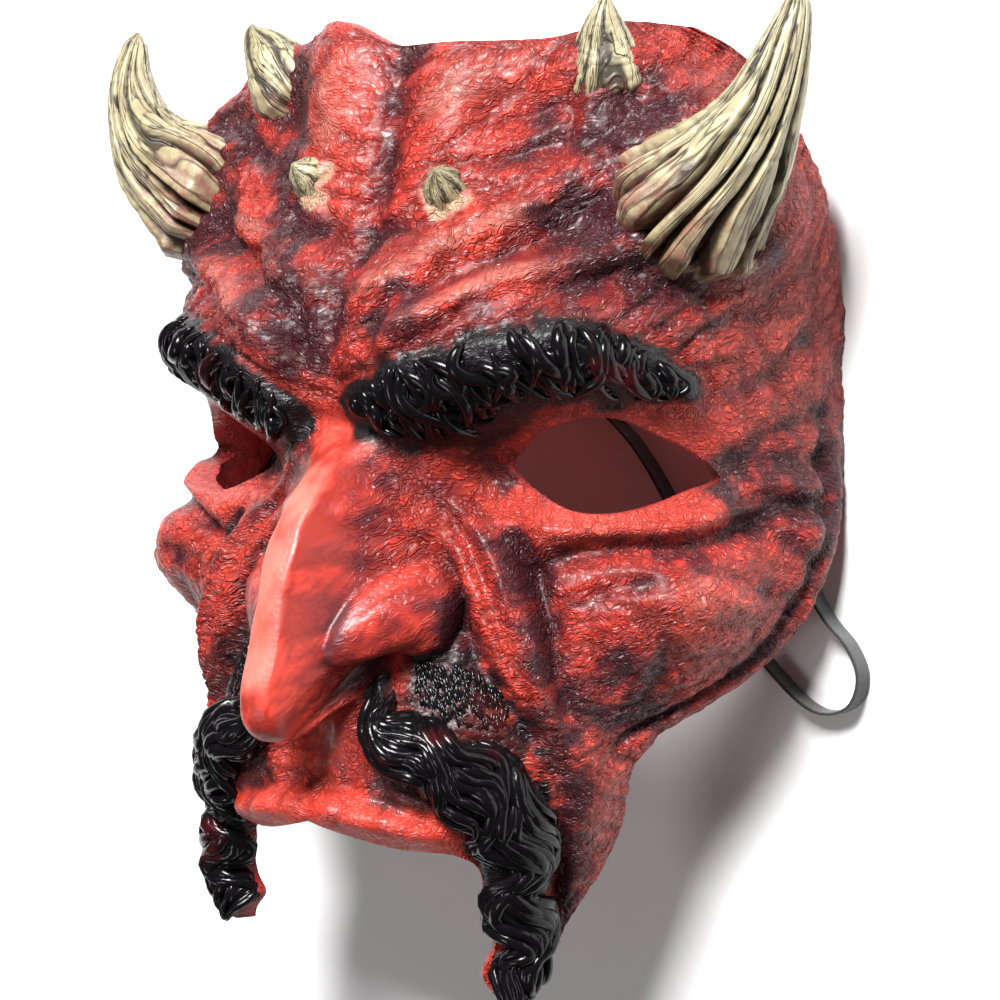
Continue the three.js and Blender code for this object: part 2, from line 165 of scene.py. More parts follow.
bm = bmesh.new()
bmesh.ops.create_cube(bm, size=1)
long_edges = [e for e in bm.edges if abs(e.verts[0].co.x - e.verts[1].co.x) > 0.5]
bmesh.ops.subdivide_edges(bm, edges=long_edges, cuts=STRAP_STEPS - 1, use_grid_fill=True)
wide_edges = [e for e in bm.edges if abs(e.verts[0].co.y - e.verts[1].co.y) > 0.5]
bmesh.ops.subdivide_edges(bm, edges=wide_edges, cuts=STRAP_ROWS - 1, use_grid_fill=True)
strap_uv = bm.loops.layers.uv.new("band")
for face in bm.faces:
    for loop in face.loops:
        loop[strap_uv].uv = (loop.vert.co.x * strap_length, loop.vert.co.y * STRAP_WIDTH)
for vert in bm.verts:
    x, y, z = vert.co
    k = int(round((x + 0.5) * STRAP_STEPS))
    way = Vector(strap_way[k])
    wide = (Vector((0, 0, 1)) - way * way.z).normalized()
    thick = way.cross(wide)
    rib = 0.9 + 0.1 * math.cos(y * 2 * math.pi * STRAP_RIBS)
    # The two woven edges are thinner
    rolled = 1 - 0.45 * max(0, abs(y) - 0.42) / 0.08
    place = Vector(strap_line[k]) + wide * y * STRAP_WIDTH + thick * z * STRAP_THICK * rib * rolled
    vert.co = place * MM
bmesh.ops.recalc_face_normals(bm, faces=bm.faces)
strap = finished("elastic_strap", bm)
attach(strap, "root")
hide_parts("strap")
print("strap", triangles([strap]), "triangles")

# %% [markdown]
# ## The head form
#
# A mask is easiest to describe on the head it is sculpted on. Every place on it gets two numbers:
# s, the way round the face from its middle line, and y, its height. The plain head is an ellipse at
# each height. A smooth curve through the measured rows gives its width and depth in between.


# %% Curves through measured rows
def smooth(low, high, x):
    t = np.clip((np.asarray(x, float) - low) / (high - low), 0, 1)
    return t * t * (3 - 2 * t)


def through(rows):
    """A curve through rows of (x, values...) that never overshoots them."""
    table = np.array(sorted(rows), float)
    x, v = table[:, 0], table[:, 1:]
    rise = np.diff(v, axis=0) / np.diff(x)[:, None]
    slope = np.vstack([rise[:1], np.zeros_like(rise[1:]), rise[-1:]])
    both = rise[:-1] + rise[1:]
    turn = 2 * rise[:-1] * rise[1:] / np.where(both == 0, 1, both)
    slope[1:-1] = np.where(rise[:-1] * rise[1:] > 0, turn, 0)

    def at(q):
        q = np.clip(np.asarray(q, float), x[0], x[-1])
        i = np.clip(np.searchsorted(x, q, side="right") - 1, 0, len(x) - 2)
        h = (x[i + 1] - x[i])[..., None]
        t = ((q - x[i]) / h[..., 0])[..., None]
        a, b, ma, mb = v[i], v[i + 1], slope[i] * h, slope[i + 1] * h
        out = a + t * (ma + t * (3 * (b - a) - 2 * ma - mb + t * (2 * (a - b) + ma + mb)))
        return np.moveaxis(out, -1, 0)

    return at


# %% Rows of the head, the rim and the nose
# Height, half width, depth, how far the middle stands forward
HEAD = through([
    (-122, 46, 50, -5), (-100, 48, 54, -3), (-85, 51, 58, 0), (-70, 57, 62, 3), (-50, 70, 68, 1),
    (-30, 81, 76, -3), (-15, 84, 80, -5), (0, 85, 80, -6), (20, 85, 82, -4), (35, 85, 82, -1),
    (50, 85, 76, -6), (65, 84, 66, -12), (80, 81, 60, -17), (95, 78, 54, -23), (105, 74, 50, -27),
    (118, 68, 46, -34),
])
# Height, way round to the trimmed rim
RIM = through([
    (-118, 44), (-110, 51), (-100, 56), (-85, 68), (-73, 75), (-62, 75), (-53, 80), (-47, 91), (-38, 106),
    (-28, 116), (-7, 127.5), (0, 129), (12, 129.8), (25, 131.7), (40, 132.7), (54, 125.5), (74, 113),
    (88, 97), (95, 89), (101, 80), (106, 63),
])
TOP_EDGE = through([
    (-80, 0), (-62, 2), (-47, 3), (-30, 1), (-15, 5), (0, -1.5), (30, -1), (47, 3), (62, 2), (80, 0),
])
# Nose: place along, height, how far forward
NOSE = through([
    (22, 22, -4), (18, 17, -5.6), (11, 10, 2.5), (4, 2.5, 10.5), (-4, -7, 17.8), (-11, -17, 22),
    (-19, -32, 25.6), (-26, -43.5, 28.7), (-30, -48.5, 27.3), (-34, -52.6, 22), (-38, -52.2, 17.5),
    (-42, -49.5, 11), (-46, -48.2, 6), (-51, -52, 4), (-57, -57, 3.5), (-63, -63, 4.5),
])
# Middle of the nose's wing as (s, y), and how far it reaches
WING, WING_REACH = (19.8, -23), (10, 10.5)
# Nose: place along, half width of the crest, half width at the cheek
NOSE_WIDTH = through([
    (22, 2, 13), (11, 2.4, 16), (0, 3.6, 21), (-11, 4.4, 26), (-19, 4.8, 28), (-26, 4.6, 25),
    (-31, 4.2, 17), (-36, 4.5, 13), (-42, 5.5, 15), (-48, 5, 15), (-56, 3, 14), (-63, 2, 12),
])
# The left tail of the moustache is shorter, turned and pushed outwards
TAIL_FROM, TAIL_SHORTER, TAIL_TURN, TAIL_OUT, TAIL_X, TAIL_Z = -76, 0.7, 0.55, 4, -37, -17


def head_form(s, y):
    """The plain head: places on it and the way out of it, as arrays of x, y, z."""
    at = np.where((s < 0) & (y < TAIL_FROM), TAIL_FROM + (y - TAIL_FROM) * TAIL_SHORTER, y)
    a, b, z = HEAD(at)
    angle = s / ((a + b) / 2)
    out = unit(np.stack([b * np.sin(angle), 0 * angle, a * np.cos(angle)], -1))
    return np.stack([a * np.sin(angle), at, z - b * (1 - np.cos(angle))], -1), out, z


print("half width at the eyes", round(float(HEAD(0)[0]), 1), "mm")

# %% [markdown]
# ## Flesh
#
# A sculptor adds clay to the head form and presses creases into it. Here a round heap is a
# bell curve, and a fold or a crease is a bell curve across a line, dying away at both its ends.
# Adding them all up gives the height of the flesh at any place: brow bones, sockets, bags under the
# eyes, cheeks, the folds beside the nose and the lobes of the forehead.


# %% Heaps, folds and hair bands
def bell(x):
    return np.exp(-(x**2))


def heap(s, y, middle, reach, height):
    return height * np.exp(-(((s - middle[0]) / reach[0]) ** 2) - ((y - middle[1]) / reach[1]) ** 2)


def nearest(s, y, line):
    """Distance to a line of (s, y), the side of it, the share of the way along and the stretch."""
    points = np.array([p[:2] for p in line], float)
    steps = np.linalg.norm(np.diff(points, axis=0), axis=1)
    best = np.full(np.shape(s), 1e9)
    side, along, at = np.zeros_like(best), np.zeros_like(best), np.zeros_like(best)
    for i, step in enumerate(steps):
        (s0, y0), (ds, dy) = points[i], points[i + 1] - points[i]
        t = np.clip(((s - s0) * ds + (y - y0) * dy) / step**2, 0, 1)
        off_s, off_y = s - s0 - t * ds, y - y0 - t * dy
        distance = np.hypot(off_s, off_y)
        closer = distance < best
        best = np.where(closer, distance, best)
        side = np.where(closer, np.sign(ds * off_y - dy * off_s), side)
        along = np.where(closer, (steps[:i].sum() + t * step) / steps.sum(), along)
        at = np.where(closer, i + t, at)
    return best, side, along, at


def fold(s, y, line, height, width):
    distance, _, along, _ = nearest(s, y, line)
    fade = 0.35 + 0.65 * smooth(0, 0.18, along) * smooth(0, 0.18, 1 - along)
    return height * fade * bell(distance / width)


def band_place(s, y, line):
    """Where a place lies in a hair band: across it from -1 to 1, and along it from 0 to 1."""
    distance, side, along, at = nearest(s, y, line)
    half = np.interp(at, range(len(line)), [p[2] for p in line])
    return side * distance / half, along


# %% Folds of the face, as lines of (s, y)
RIDGE_HIGH = [(3, 47), (14, 51), (23, 59), (33, 64), (44, 68)]
RIDGE_LOW = [(11, 38), (23, 43), (35, 51), (48, 54), (60, 57)]
FROWN = [(8, 33), (13, 41), (16, 48)]
LID_BAG = [(38, -2), (49, -5), (60, -5.5), (74, -4), (92, 0)]
BAG_FOLD = [(45, -18), (50, -12.5), (57, -9.5), (67, -9), (79, -9.5), (97, -4), (122, 1)]
CROW_FOLD = [(88, 6), (104, 10), (124, 9)]
CHEEK_BAND = [(34, -8), (40, -24), (48, -40), (56, -53), (64, -64), (65, -80)]
FOLD_INNER = [(30, -24), (34, -34), (42, -44), (54, -57)]
BAND_OUTER = [(14, 10), (24, 2), (33, -6), (39, -16), (44, -28), (49, -40), (56, -54)]
BAND_INNER = [(22, -6), (29, -13), (34, -23), (39, -34), (45, -44)]
BAND_SPLIT = [(22, 0), (31, -9), (36.5, -19), (41, -31), (47, -43)]
FOLD_OUTER = [(41, -8), (47, -17), (50, -26), (52, -38), (58, -50)]
FOLD_TAIL = [(57, -66), (58, -82), (54, -97)]
NOSE_GROOVE = [(20, -7), (27, -14), (29.5, -22), (28, -32)]
HORN_COLLAR = [(54, 74), (57, 64), (66, 57), (77, 53), (90, 54), (100, 63)]
# Smaller creases: line, depth, width
SMALL_CREASES = [
    ([(90, 2), (106, 1), (122, -3)], -2.2, 2.4), ([(88, 9), (104, 16), (121, 21)], -2, 2.4),
    ([(91, -3), (106, -9), (118, -17)], -1.8, 2.4), ([(66, -20), (74, -31), (77, -44)], -1.3, 2.6),
    ([(82, -13), (94, -19), (106, -21)], -1.5, 2.4), ([(58, -45), (70, -50), (86, -49)], -1.4, 2.6),
    ([(40, -7), (46, -15), (49, -26)], -1.8, 2.2), ([(56, -21), (64, -17), (72, -17)], -1.6, 2.2),
    ([(4, 60), (14, 62), (22, 66)], -1.6, 2.4), ([(26, 76), (36, 80), (46, 82)], -1.6, 2.6),
    ([(20, 46), (33, 54), (45, 60), (56, 62)], -2, 2.4), ([(50, 50), (64, 52), (82, 47)], -1.8, 2.6),
    ([(86, 40), (98, 44), (108, 54)], -1.6, 3), ([(92, 24), (106, 30), (120, 40)], -1.4, 3),
    ([(6, -60), (9, -66), (8, -71)], -1.1, 1.8), ([(16, -62), (19, -67), (18, -73)], -0.9, 1.8),
]
BROW = [(8, 21, 6.5), (17, 21.5, 9.5), (29, 24, 11), (42, 29.5, 10), (54, 32.5, 10), (67, 30.5, 7.5),
        (80, 27, 4)]
BROW_LEFT = [(14, 18, 5.5), (20, 19, 8.5)] + BROW[2:]
MOUSTACHE = [(13, -41, 2.5), (15, -50, 4), (22, -54, 5.5), (30, -57, 6.5), (38, -63, 8.5), (44.5, -69, 9),
             (47, -76, 9), (47, -83, 8.5), (45.5, -90, 6.5), (47, -97, 6.8), (47, -103, 6), (43, -109, 4),
             (40, -117, 2)]


def bag_y(s, y):
    """The left bag under the eye is sculpted higher at its outer end."""
    return y - 4.5 * smooth(50, 72, -s)


print(len(SMALL_CREASES), "small creases")

# %% Tables of the flesh
# Heaps on both halves of the face: middle (s, y), reach, height
HEAPS = [
    ((13, 94), (9, 20), 4.5), ((12, 52), (9, 18), 3), ((42, 38), (30, 13), 7.5), ((78, 46), (22, 14), 1),
    ((16, 30), (12, 12), 4), ((33, 88), (9, 7), -4), ((66, 90), (9, 8), 7), ((57, 80), (8, 7), 3),
    ((36, 6), (13, 10), -9), ((58, 8), (22, 10), -4), ((80, -22), (21, 14), 13), ((114, -6), (9, 18), 5),
    ((76, 66), (24, 18), 6), ((44, 100), (13, 12), 4), ((0, -71), (40, 6), 4), ((24, -56), (16, 12), 3),
    ((0, -59), (4, 7), -2),
]
# Heaps on one half only: the crest's lobe, the nubs' mounds and the left cheek's ball
ONE_SIDED_HEAPS = [
    ((-14, 108), (11, 14), 5), ((25, 69), (9, 9), 1.5), ((-15, 73), (9, 9), 1.5), ((-74, -8), (14, 11), 6),
    ((-68, -32), (14, 9), -5), ((-58, -47), (14, 12), -4),
]
# Folds: line, height, width
FOLDS = [
    (RIDGE_HIGH, 4.5, 5), (RIDGE_LOW, 3.5, 4.5), (FROWN, -4, 3), (CROW_FOLD, -3, 3.5), (CHEEK_BAND, 5, 7),
    (FOLD_INNER, -4, 3), (FOLD_OUTER, -4, 2.6), (FOLD_TAIL, -3, 2.4),
]
LID_FOLDS = [(LID_BAG, 3.4, 3.6), (BAG_FOLD, -3.8, 2.8)]
LIP_EDGE = [(0, -68), (10, -70), (20, -73), (34, -75)]
LIP_CREASE = [(0, -63), (6, -64.5), (20, -68), (33, -72.5)]
SMALL_FOLDS = SMALL_CREASES + [
    (RIDGE_LOW, 1.4, 4), (LIP_EDGE, 2.2, 3.6), (LIP_CREASE, -2, 1.8), (HORN_COLLAR, 2.2, 3.2),
    (NOSE_GROOVE, -2.4, 2), (BAND_OUTER, 2, 3), (BAND_INNER, 1.8, 2.6), (BAND_SPLIT, -1.6, 1.5),
]
ONE_SIDED_CREASES = [
    ([(-11, 54), (-9, 42), (-7, 31)], -3, 2.6), ([(2, 104), (3, 80), (3, 60), (0, 46)], -2, 3),
]
SMALL_HEAPS = [
    ((47, 65), (6, 4), -3), ((54, 91), (6, 5), -3), ((38, 73), (9, 4), 1.6), ((99, 62), (9, 8), 2),
]


# %% Add them up
def heaped(s, y, rows):
    return sum(heap(s, y, *row) for row in rows)


def folded(s, y, rows):
    return sum(fold(s, y, *row) for row in rows)


# How far the seam along the cheek lies from the rim
SEAM = 9.5


def cheek_rim(y):
    """Where the edge of the mask has a seam along it."""
    return smooth(24, 10, y) * smooth(-58, -48, y)


def flesh(s, y):
    q = np.abs(s)
    h = heaped(q, y, HEAPS) + heaped(s, y, ONE_SIDED_HEAPS)
    return h + folded(q, y, FOLDS) + folded(q, bag_y(s, y), LID_FOLDS)


def small_forms(s, y):
    """Creases, pits and a seam along the cheek's rim, on top of the main flesh."""
    q = np.abs(s)
    h = heaped(q, y, SMALL_HEAPS) + folded(q, y, SMALL_FOLDS) + folded(s, y, ONE_SIDED_CREASES)
    to_rim = RIM(y)[0] - q
    return h + cheek_rim(y) * (1.2 * bell((to_rim - 4) / 2.5) - 2 * bell((to_rim - SEAM) / 2))


print("flesh on the cheek", round(float(flesh(80.0, -22.0)), 1), "mm")

# %% [markdown]
# ## Wrinkles
#
# Aged skin is covered in fine creases that run with its folds. A pattern of cells that is stretched
# along one direction gives long pads, and the creases run between them. Their direction and size
# change over the face, so each region gets patterns of its own, and they are mixed at its borders.

# %% Noise, and pads with creases round them
TURNS = np.random.default_rng(11).uniform(0, 2 * np.pi, (256, 256))


def noise(u, v, seed=0):
    i, j = np.floor(u).astype(int), np.floor(v).astype(int)
    fu, fv = u - i, v - j

    def corner(a, b):
        turn = TURNS[(i + a + 37 * seed) % 256, (j + b + 91 * seed) % 256]
        return np.cos(turn) * (fu - a) + np.sin(turn) * (fv - b)

    ku, kv = fu**3 * (fu * (6 * fu - 15) + 10), fv**3 * (fv * (6 * fv - 15) + 10)
    low = corner(0, 0) * (1 - ku) + corner(1, 0) * ku
    high = corner(0, 1) * (1 - ku) + corner(1, 1) * ku
    return 1.5 * (low * (1 - kv) + high * kv)


def creased(q, y, angle, long, short, seed):
    """Pads of that length and width with creases round them, from -1 in a crease to 0 on a pad."""
    c, s = math.cos(math.radians(angle)), math.sin(math.radians(angle))
    u, v = (q * c + y * s) / long, (y * c - q * s) / short
    u, v = u + 0.5 * noise(u * 0.9, v * 0.6, seed + 1), v + 0.7 * noise(u * 0.8, v * 0.4, seed + 2)
    i, j = np.floor(u).astype(int), np.floor(v).astype(int)
    first, second = np.full(u.shape, 9.0), np.full(u.shape, 9.0)
    for a in (-1, 0, 1):
        for b in (-1, 0, 1):
            turn = TURNS[(i + a + 53 * seed) % 256, (j + b + 17 * seed) % 256]
            away = np.hypot(i + a + 0.5 + 0.42 * np.cos(turn) - u, j + b + 0.5 + 0.42 * np.sin(turn) - v)
            second = np.minimum(second, np.maximum(first, away))
            first = np.minimum(first, away)
    return smooth(0, 0.36, second - first) - 1 + 0.35 * noise(u * 2.1, v * 1.9, seed + 2)


# %% Wrinkles by region
def wrinkles(s, y):
    q = np.abs(s)
    # The left half gets wrinkles of its own
    far = q + np.where(s < 0, 300, 0)
    brow = smooth(14, 30, y)
    temple = smooth(84, 104, q) * smooth(10, 30, y)
    beside_nose = smooth(26, 34, q) * smooth(72, 58, q) * smooth(2, -12, y)
    eye = smooth(32, 40, q) * smooth(-20, -8, y) * smooth(24, 12, y)
    cheek = np.clip(1 - brow - beside_nose, 0, 1)
    # Share of the region, and its pads: depth, then angle, length, width and seed
    regions = [
        (brow * (1 - temple), [(0.6, 27, 5.5, 2.5, 1), (1.1, 34, 22, 9, 44)]),
        (temple, [(0.4, 70, 3.6, 2.4, 4), (0.6, 60, 16, 8, 45)]),
        (beside_nose * (1 - eye), [(0.55, -22, 6.5, 2.3, 7)]),
        (cheek * (1 - eye), [(0.42, -38, 3.8, 2.4, 9), (0.6, -20, 16, 8, 46)]),
        (eye, [(0.45, 8, 8, 2.3, 12)]),
    ]
    h = sum(share * sum(depth * creased(far, y, *pad) for depth, *pad in rows) for share, rows in regions)
    # The lip, the eyelids and the lobes of the forehead are smoother
    lip = smooth(-60, -66, y) * smooth(40, 30, q)
    lid = smooth(1.7, 1.1, np.hypot((q - 64) / 26, (y - 9) / 11))
    lobes = smooth(70, 84, y) * smooth(44, 30, q)
    return h * (1 - 0.75 * lip) * (1 - 0.7 * lid) * (1 - 0.4 * lobes)


sample = wrinkles(*np.meshgrid(np.arange(0, 120), np.arange(-60, 90)))
print("wrinkles reach", round(float(np.ptp(sample)), 2), "mm")

# %% [markdown]
# ## Nose and skin
#
# The nose hooks over, so it can't be a height over the head: places near the middle line are
# carried along a separate profile that runs down the crest, round the tip and back under it to the
# lip. The outer skin adds flesh, hair bands and wrinkles. The inside is smoother, because
# latex fills the mould's creases: it follows the lowest flesh nearby, a wall's thickness behind.

# %% Settings of the skin
WALL = 2.1
# Share of the nose's reach that the hollow behind it has
NOSE_HOLLOW = 0.72
WING_HEIGHT, WING_HEIGHT_INSIDE = 9, 5
WING_GROOVE, WING_GROOVE_AT, WING_GROOVE_WIDTH = 1.3, 0.68, 0.1
# The wall is thicker at the nose's root
NOSE_ROOT = ((0, 19), (16, 8), 3.5)
# Where the inside looks for the lowest flesh nearby
LOOK_ROUND = (-3.2, 0, 3.2)
WRINKLE_DEPTH, WRINKLE_LIFT = 0.95, 0.6
HAIR_BROW = 3.4
HAIR_MOUSTACHE = 6.0
HAIR_BANDS = [
    (1, BROW, HAIR_BROW), (-1, BROW_LEFT, HAIR_BROW), (1, MOUSTACHE, HAIR_MOUSTACHE),
    (-1, MOUSTACHE, HAIR_MOUSTACHE),
]
BRIDGE_KNOT = ((9, 0), (3, 3), 2.4)
BRIDGE_FOLD = ([(10, -2), (16, -4), (24, -7)], 1.6, 2)
NOSTRIL, NOSTRIL_UP, NOSTRIL_BACK = ((13, -35), (6, 3.5)), 7, 4
print("wall", WALL, "mm,", len(HAIR_BANDS), "hair bands")


# %% Carry places along the nose, and turn the left tail
def nose_share(s, y, thinner):
    q = np.abs(s)
    on = smooth(24, 17, y) * smooth(-66, -58, y)
    crest, cheek = NOSE_WIDTH(y)
    crest = crest * (1 + 0.25 * noise(y * 0.12, 0.3 + 0 * q, 5)) * np.where(s < 0, 0.75, 1)
    slope = 0.97 * (1 - np.clip((q - crest) / (cheek - thinner - crest), 0, 1)) ** 1.8
    share = on * np.where(q < crest, 1 - 0.03 * (q / crest) ** 2, slope)
    return share, 1 - on * (1 - smooth(0, 1, (q / cheek - 0.7) / 0.4))


def lump(s, y, middle, reach):
    """A ball of clay pressed on: 1 in its middle, with a sharp edge round it."""
    away = ((s - middle[0]) / reach[0]) ** 2 + ((y - middle[1]) / reach[1]) ** 2
    return np.clip(1 - away, 0, 1) ** 0.6


def add_nose(p, out, s, y, z, share, wing_height):
    nose_y, nose_z = NOSE(y)
    p[..., 1] += (nose_y - y) * share
    p[..., 2] += (nose_z - z) * share
    q = np.abs(s)
    wing = wing_height * lump(q, y, WING, WING_REACH) * np.where(s < 0, 0.7, 1)
    p += out * (wing * 0.85)[..., None]
    p[..., 0] += np.sign(s) * wing * 0.2
    p[..., 1] -= wing * 0.45 * smooth(-20, -30, y)


def turn_tail(p, s, y):
    share = smooth(TAIL_FROM, TAIL_FROM - 12, y) * smooth(-10, -30, s)
    turn = TAIL_TURN * share
    x, depth = p[..., 0] - TAIL_X, p[..., 2] - TAIL_Z
    p[..., 0] = TAIL_X + x * np.cos(turn) + depth * np.sin(turn) - TAIL_OUT * share
    p[..., 2] = TAIL_Z - x * np.sin(turn) + depth * np.cos(turn)
    return p


# %% Outer and inner skin
def hair_height(s, y):
    h = 0
    for side, line, height in HAIR_BANDS:
        across, along = band_place(side * s, y, line)
        locks = 1 + 0.06 * np.sin(2 * np.pi * (along * len(line) - 0.4 * across))
        h = h + height * locks * np.sqrt(np.clip(1 - across**2, 0, 1))
    return h


def skin(s, y, wrinkled=True):
    s, y = np.asarray(s, float), np.asarray(y, float)
    p, out, z = head_form(s, y)
    share, calm = nose_share(s, y, 0)
    hair = hair_height(s, y)
    fine = 0
    if wrinkled:
        bare = 1 - 0.8 * smooth(0, 2, hair)
        fine = (WRINKLE_DEPTH * wrinkles(s, y) + WRINKLE_LIFT) * (0.1 + 0.9 * calm) * bare
    p = p + out * ((flesh(s, y) + small_forms(s, y) + hair) * calm + fine)[..., None]
    add_nose(p, out, s, y, z, share, WING_HEIGHT)
    q = np.abs(s)
    knots = heap(q, y, *BRIDGE_KNOT) + fold(q, y, *BRIDGE_FOLD)
    around = np.hypot((q - WING[0]) / WING_REACH[0], (y - WING[1]) / WING_REACH[1])
    knots -= WING_GROOVE * bell((around - WING_GROOVE_AT) / WING_GROOVE_WIDTH) * smooth(-22, -15, y)
    p += out * knots[..., None]
    nostril = lump(q, y, *NOSTRIL)
    p[..., 1] += nostril * NOSTRIL_UP
    p[..., 2] -= nostril * NOSTRIL_BACK
    return turn_tail(p, s, y)


def inside(s, y, extra):
    s, y = np.asarray(s, float), np.asarray(y, float)
    p, out, z = head_form(s, y)
    lowest = np.full(s.shape, 1e9)
    for ds in LOOK_ROUND:
        for dy in LOOK_ROUND:
            height = flesh(s + ds, y + dy) + small_forms(s + ds, y + dy)
            lowest = np.minimum(lowest, height * nose_share(s + ds, y + dy, 0)[1])
    p = p + out * (lowest - heap(s, y, *NOSE_ROOT) - WALL - extra)[..., None]
    add_nose(p, out, s, y, z, nose_share(s, y, 2 * WALL)[0] * NOSE_HOLLOW, WING_HEIGHT_INSIDE)
    return turn_tail(p, s, y)


print("tip of the nose", skin(0.0, -27.0).round(1))

# %% [markdown]
# ## From a flat grid to a face
#
# A flat grid is one of bmesh's ready shapes. Each of its corners is moved to its place on the face,
# as a sheet of rubber is pulled over a form. The rows lie closer together where the nose turns
# under, and the columns closer together in the middle of the face.

# %% Spread a grid over the face
# Height where each span of rows starts, and the rows in it
ROW_SPANS = [(106, 62), (48, 48), (10, 42), (-25, 66), (-62, 62), (-118, 0)]
COLUMNS = 292
MIDDLE_SHARE = 0.37
MIDDLE_HALF = 36
ROW_HEIGHTS = np.concatenate([
    np.linspace(top, low, rows, endpoint=False)
    for (top, rows), (low, _) in zip(ROW_SPANS, ROW_SPANS[1:])
] + [[-118]])


def spread(across, down, past=0):
    """Grid place (-1 to 1 across, 0 to 1 down) to (s, y); past is how far it runs over the rim."""
    y = np.interp(down * (len(ROW_HEIGHTS) - 1), range(len(ROW_HEIGHTS)), ROW_HEIGHTS)
    q = np.abs(across)
    outer = (q - MIDDLE_SHARE) / (1 - MIDDLE_SHARE)
    edge = RIM(y)[0] + past
    s = np.where(outer < 0, MIDDLE_HALF * q / MIDDLE_SHARE, MIDDLE_HALF + (edge - MIDDLE_HALF) * outer)
    s = s * np.sign(across)
    beyond = past * ((down < 1e-6) * 1.0 - (down > 1 - 1e-6) * 1.0)
    return s, y + TOP_EDGE(s)[0] * smooth(84, 106, y) + beyond


# %% Solids from grids, and cutting one with another
def pushed_back(bm, faces, depth):
    """Makes a solid of faces by drawing a copy of them back that far."""
    drawn = bmesh.ops.extrude_face_region(bm, geom=faces, use_keep_orig=True)["geom"]
    verts = [g for g in drawn if isinstance(g, bmesh.types.BMVert)]
    bmesh.ops.translate(bm, vec=(0, 0, -depth), verts=verts)


def slab(columns, rows):
    """A flat box of a grid in front and one behind, one unit apart."""
    bm = bmesh.new()
    bmesh.ops.create_grid(bm, x_segments=columns, y_segments=rows, size=1)
    pushed_back(bm, bm.faces[:], 1)
    bmesh.ops.recalc_face_normals(bm, faces=bm.faces)
    return bm


def reshaped(name, bm, shape):
    """The object of a bmesh whose places are changed all at once by shape(places)."""
    piece = finished(name, bm)
    places = np.empty(len(piece.data.vertices) * 3)
    piece.data.vertices.foreach_get("co", places)
    moved = (shape(places.reshape(-1, 3)) + np.array(PLACE)) * MM
    piece.data.vertices.foreach_set("co", moved.ravel())
    piece.data.update()
    return piece


def cut_with(piece, tool, keep_tool=False):
    """Cuts the solid tool out of the solid piece, for good."""
    cut = piece.modifiers.new("cut", "BOOLEAN")
    cut.operation, cut.solver, cut.object = "DIFFERENCE", "MANIFOLD", tool
    graph = bpy.context.evaluated_depsgraph_get()
    mesh = bpy.data.meshes.new_from_object(piece.evaluated_get(graph), depsgraph=graph)
    piece.modifiers.clear()
    old, piece.data = piece.data, mesh
    bpy.data.meshes.remove(old)
    if not keep_tool:
        bpy.data.objects.remove(tool)


# %% Pull a block over the face
def face_block(places):
    s, y = spread(places[:, 0], (1 - places[:, 1]) / 2)
    edge = spread(np.ones(len(s)), (1 - places[:, 1]) / 2)[0]
    share = (s / edge + 1)[:, None] / 2
    behind = inside(-edge, y, 3) * (1 - share) + inside(edge, y, 3) * share
    front = places[:, 2] > -0.5
    return np.where(front[:, None], skin(s, y), behind)


face = reshaped("latex_mask", slab(COLUMNS, len(ROW_HEIGHTS) - 1), face_block)
print("face block", len(face.data.polygons), "faces")


# %% Hollow it out and cut the openings
HOLLOW_COLUMNS, HOLLOW_ROWS = 104, 96
# How far behind the face the block ends that hollows it out
HOLLOW_BACK = -170


def hollow(name, extra):
    def shape(places):
        s, y = spread(places[:, 0], (1 - places[:, 1]) / 2, 8)
        p = inside(s, y, extra)
        p[places[:, 2] < -0.5, 2] = HOLLOW_BACK
        return p

    return reshaped(name, slab(HOLLOW_COLUMNS, HOLLOW_ROWS), shape)


EYE = [(39, 8), (43, 13), (48, 17), (54, 19.2), (60, 20), (67, 19), (74, 16), (82, 12), (89, 6), (81, 3.5),
       (73, 0.5), (64, -1.6), (57, -1.9), (52, -1), (46, 2)]
MOUTH_EDGE = [(0, -72.5), (9, -75), (21, -77.8), (33, -79), (38, -82), (39, -88), (40.5, -95),
              (39.5, -102), (36.5, -108), (41, -116), (41, -130)]


def plug(name, outline, reach):
    """A plug through the wall with an outline in (s, y)."""
    bm = bmesh.new()
    corners = [bm.verts.new((s, y, 1)) for s, y in outline]
    pushed_back(bm, [bm.faces.new(corners)], 2)
    bmesh.ops.triangulate(bm, faces=[f for f in bm.faces if len(f.verts) > 4])
    bmesh.ops.recalc_face_normals(bm, faces=bm.faces)

    def shape(places):
        p, out, _ = head_form(places[:, 0], places[:, 1])
        return turn_tail(p + out * reach * places[:, 2:], places[:, 0], places[:, 1])

    return reshaped(name, bm, shape)


def rounded(outline, steps):
    """A closed outline through its points, at many even places."""
    loop = [(s, y, 0) for s, y in outline]
    line = line_through(loop[-1:] + loop + loop[:2], 24 * (len(loop) + 2))
    places = evenly(line[24 : 24 * (len(loop) + 1) + 1], steps)[0]
    return [tuple(p[:2]) for p in places[:-1]]


cut_with(face, hollow("hollow", 0))
half_mouth = [tuple(p) for p in line_through(MOUTH_EDGE, 80)]
mouth = half_mouth + [(-s, y) for s, y in half_mouth[:0:-1]]
cut_with(face, plug("mouth_plug", mouth, 45))
for side in (1, -1):
    outline = [(s * side, y) for s, y in rounded(EYE, 72)]
    cut_with(face, plug("eye_plug", outline, 22))
print("mask", triangles([face]), "triangles")

# %% [markdown]
# ## Horns
#
# The horns are cast with the face, so each one grows out of the wall. A horn is a cylinder with
# many cuts along it, bent along a curved middle line and tapered. Grooves run down it
# between ridges that swell into toes at the foot. They wander and join a little, as carved ones do.
# The hollow's own shape is cut from every foot, so nothing of a horn shows inside the mask.

